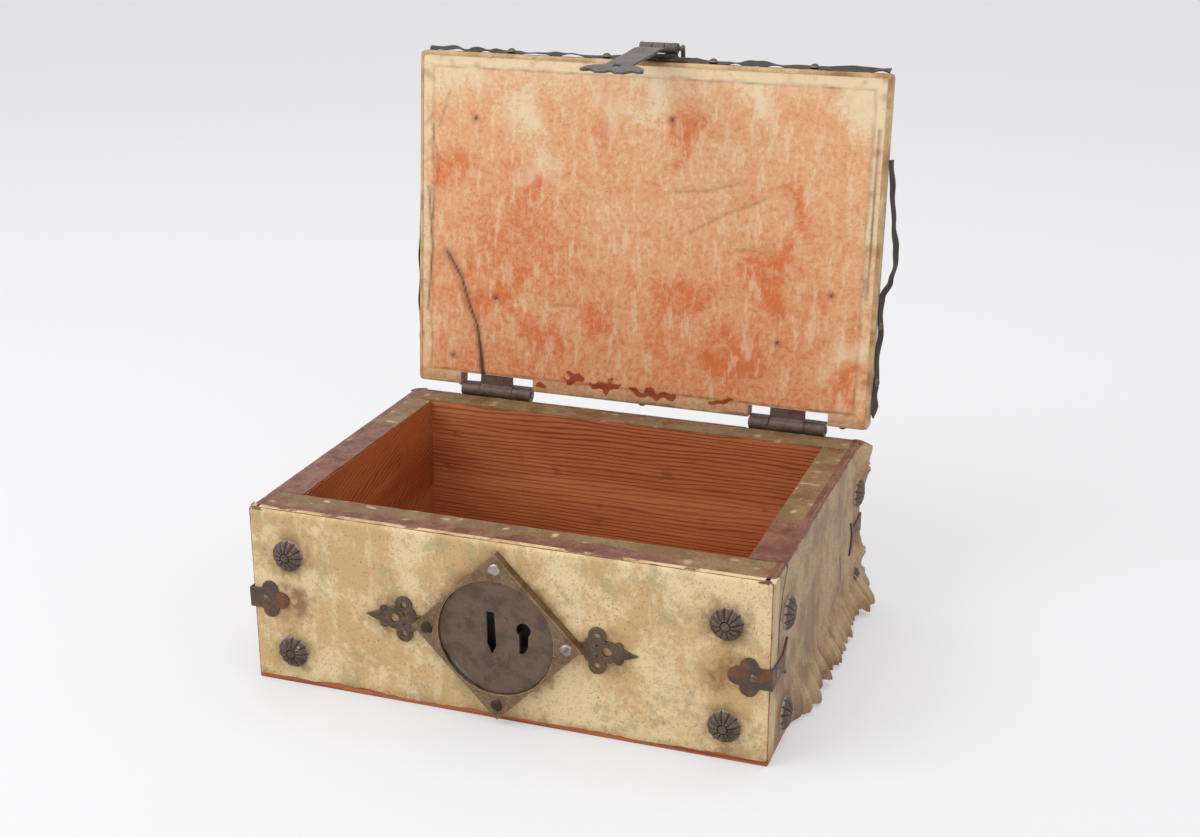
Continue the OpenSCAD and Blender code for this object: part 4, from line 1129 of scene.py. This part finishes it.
class CASKET_OT_iron(bpy.types.Operator):
    """Forged pieces: lock frame, finials, straps, hinges, hasp and their hidden fixings"""
    bl_idname = "casket.iron"
    bl_label = "Forged ironwork"

    def execute(self, context):
        # Lock frame: brown-black sides and flats, edges worn to a brassy shine by hands
        forge("lock_frame", forged_iron("frame_worn_edges", "#7b6248", "#634a35", "#c2a679",
                                        0.45, 0.4, 0.35, 0.95), 0.5, 3, 0.3, 7)
        forge("lock_plate", forged_iron("plate_pitted", "#6b5646", "#54453b", "#8c7a68",
                                        0.4, 0.52, 0.35, 0.5), 0.4, 2, 0.12, 4, 3)
        # Tinned or blued sheet of the lock's case, seen past the worn flat of the plate
        dress(forged_iron("case_blued", "#6f757c", "#564c45", "#9aa0a6", 0.6, 0.45),
              "lock_case")
        # Finials and hasp: forged and filed, rubbed brown
        finial = forged_iron("finial_filed", "#5c4a39", "#48372b", "#94805f",
                             0.4, 0.42, 0.35, 0.9)
        for side in ("left", "right"):
            forge("finial_" + side, finial, 0.32, 5, 0.25, 3.5, 5)
        grey = forged_iron("hasp_rubbed", "#5f5651", "#4b403a", "#8a817a",
                           0.4, 0.42, 0.25, 0.7)
        forge("hasp", grey, 0.45, 3, 0.2, 6, 7)
        forge("hasp_leaf", grey, 0.45, 3, 0.2, 6, 8)
        forge("hasp_pin", grey, 0.25, 2)
        dress(grey, "hasp_leaf_nails")
        # Corner straps: thin iron gone brown with rust
        rusty = forged_iron("strap_rusted", "#4d3f38", "#7a4a2a", "#7d6b5b",
                            0.3, 0.5, 0.4, 0.6)
        for end in ("front_left", "front_right", "back_left", "back_right"):
            forge("corner_strap_" + end, rusty, 0.4, 2, 0.2, 5, 2)
        hinge = forged_iron("hinge_oiled", "#62514a", "#513f36", "#8a7a70",
                            0.35, 0.45, 0.3, 0.6)
        for end in ("chest_left", "chest_right", "lid_left", "lid_right"):
            forge("hinge_strap_" + end, hinge, 0.45, 3, 0.2, 6, 4)
        dress(hinge, "hinge_pin_left", "hinge_pin_right", "hinge_nails_chest", "hinge_nails_lid",
              "corner_nails", "bottom_nails", "case_nails", "lock_bolt", "bolt_guides",
              "lock_spring")
        return {"FINISHED"}


class CASKET_PT_panel(bpy.types.Panel):
    bl_idname = "CASKET_PT_panel"
    bl_label = "Casket"
    bl_space_type = "VIEW_3D"
    bl_region_type = "UI"
    bl_category = "Casket"

    def draw(self, context):
        for operator in OPERATORS:
            self.layout.operator(operator.bl_idname)
        for name in StageSettings.__annotations__:
            self.layout.prop(context.scene.casket_stage, name)


OPERATORS = [CASKET_OT_stage, CASKET_OT_boards, CASKET_OT_covers, CASKET_OT_lid, CASKET_OT_iron,
             CASKET_OT_nails, CASKET_OT_edging]
CLASSES = [StageSettings, *OPERATORS, CASKET_PT_panel]


def register():
    for cls in CLASSES:
        bpy.utils.register_class(cls)
    bpy.types.Scene.casket_stage = bpy.props.PointerProperty(type=StageSettings)


def unregister():
    del bpy.types.Scene.casket_stage
    for cls in reversed(CLASSES):
        bpy.utils.unregister_class(cls)


def main():
    register()
    for operator in OPERATORS:
        group, verb = operator.bl_idname.split(".")
        getattr(getattr(bpy.ops, group), verb)()


if __name__ == "__main__":
    main()
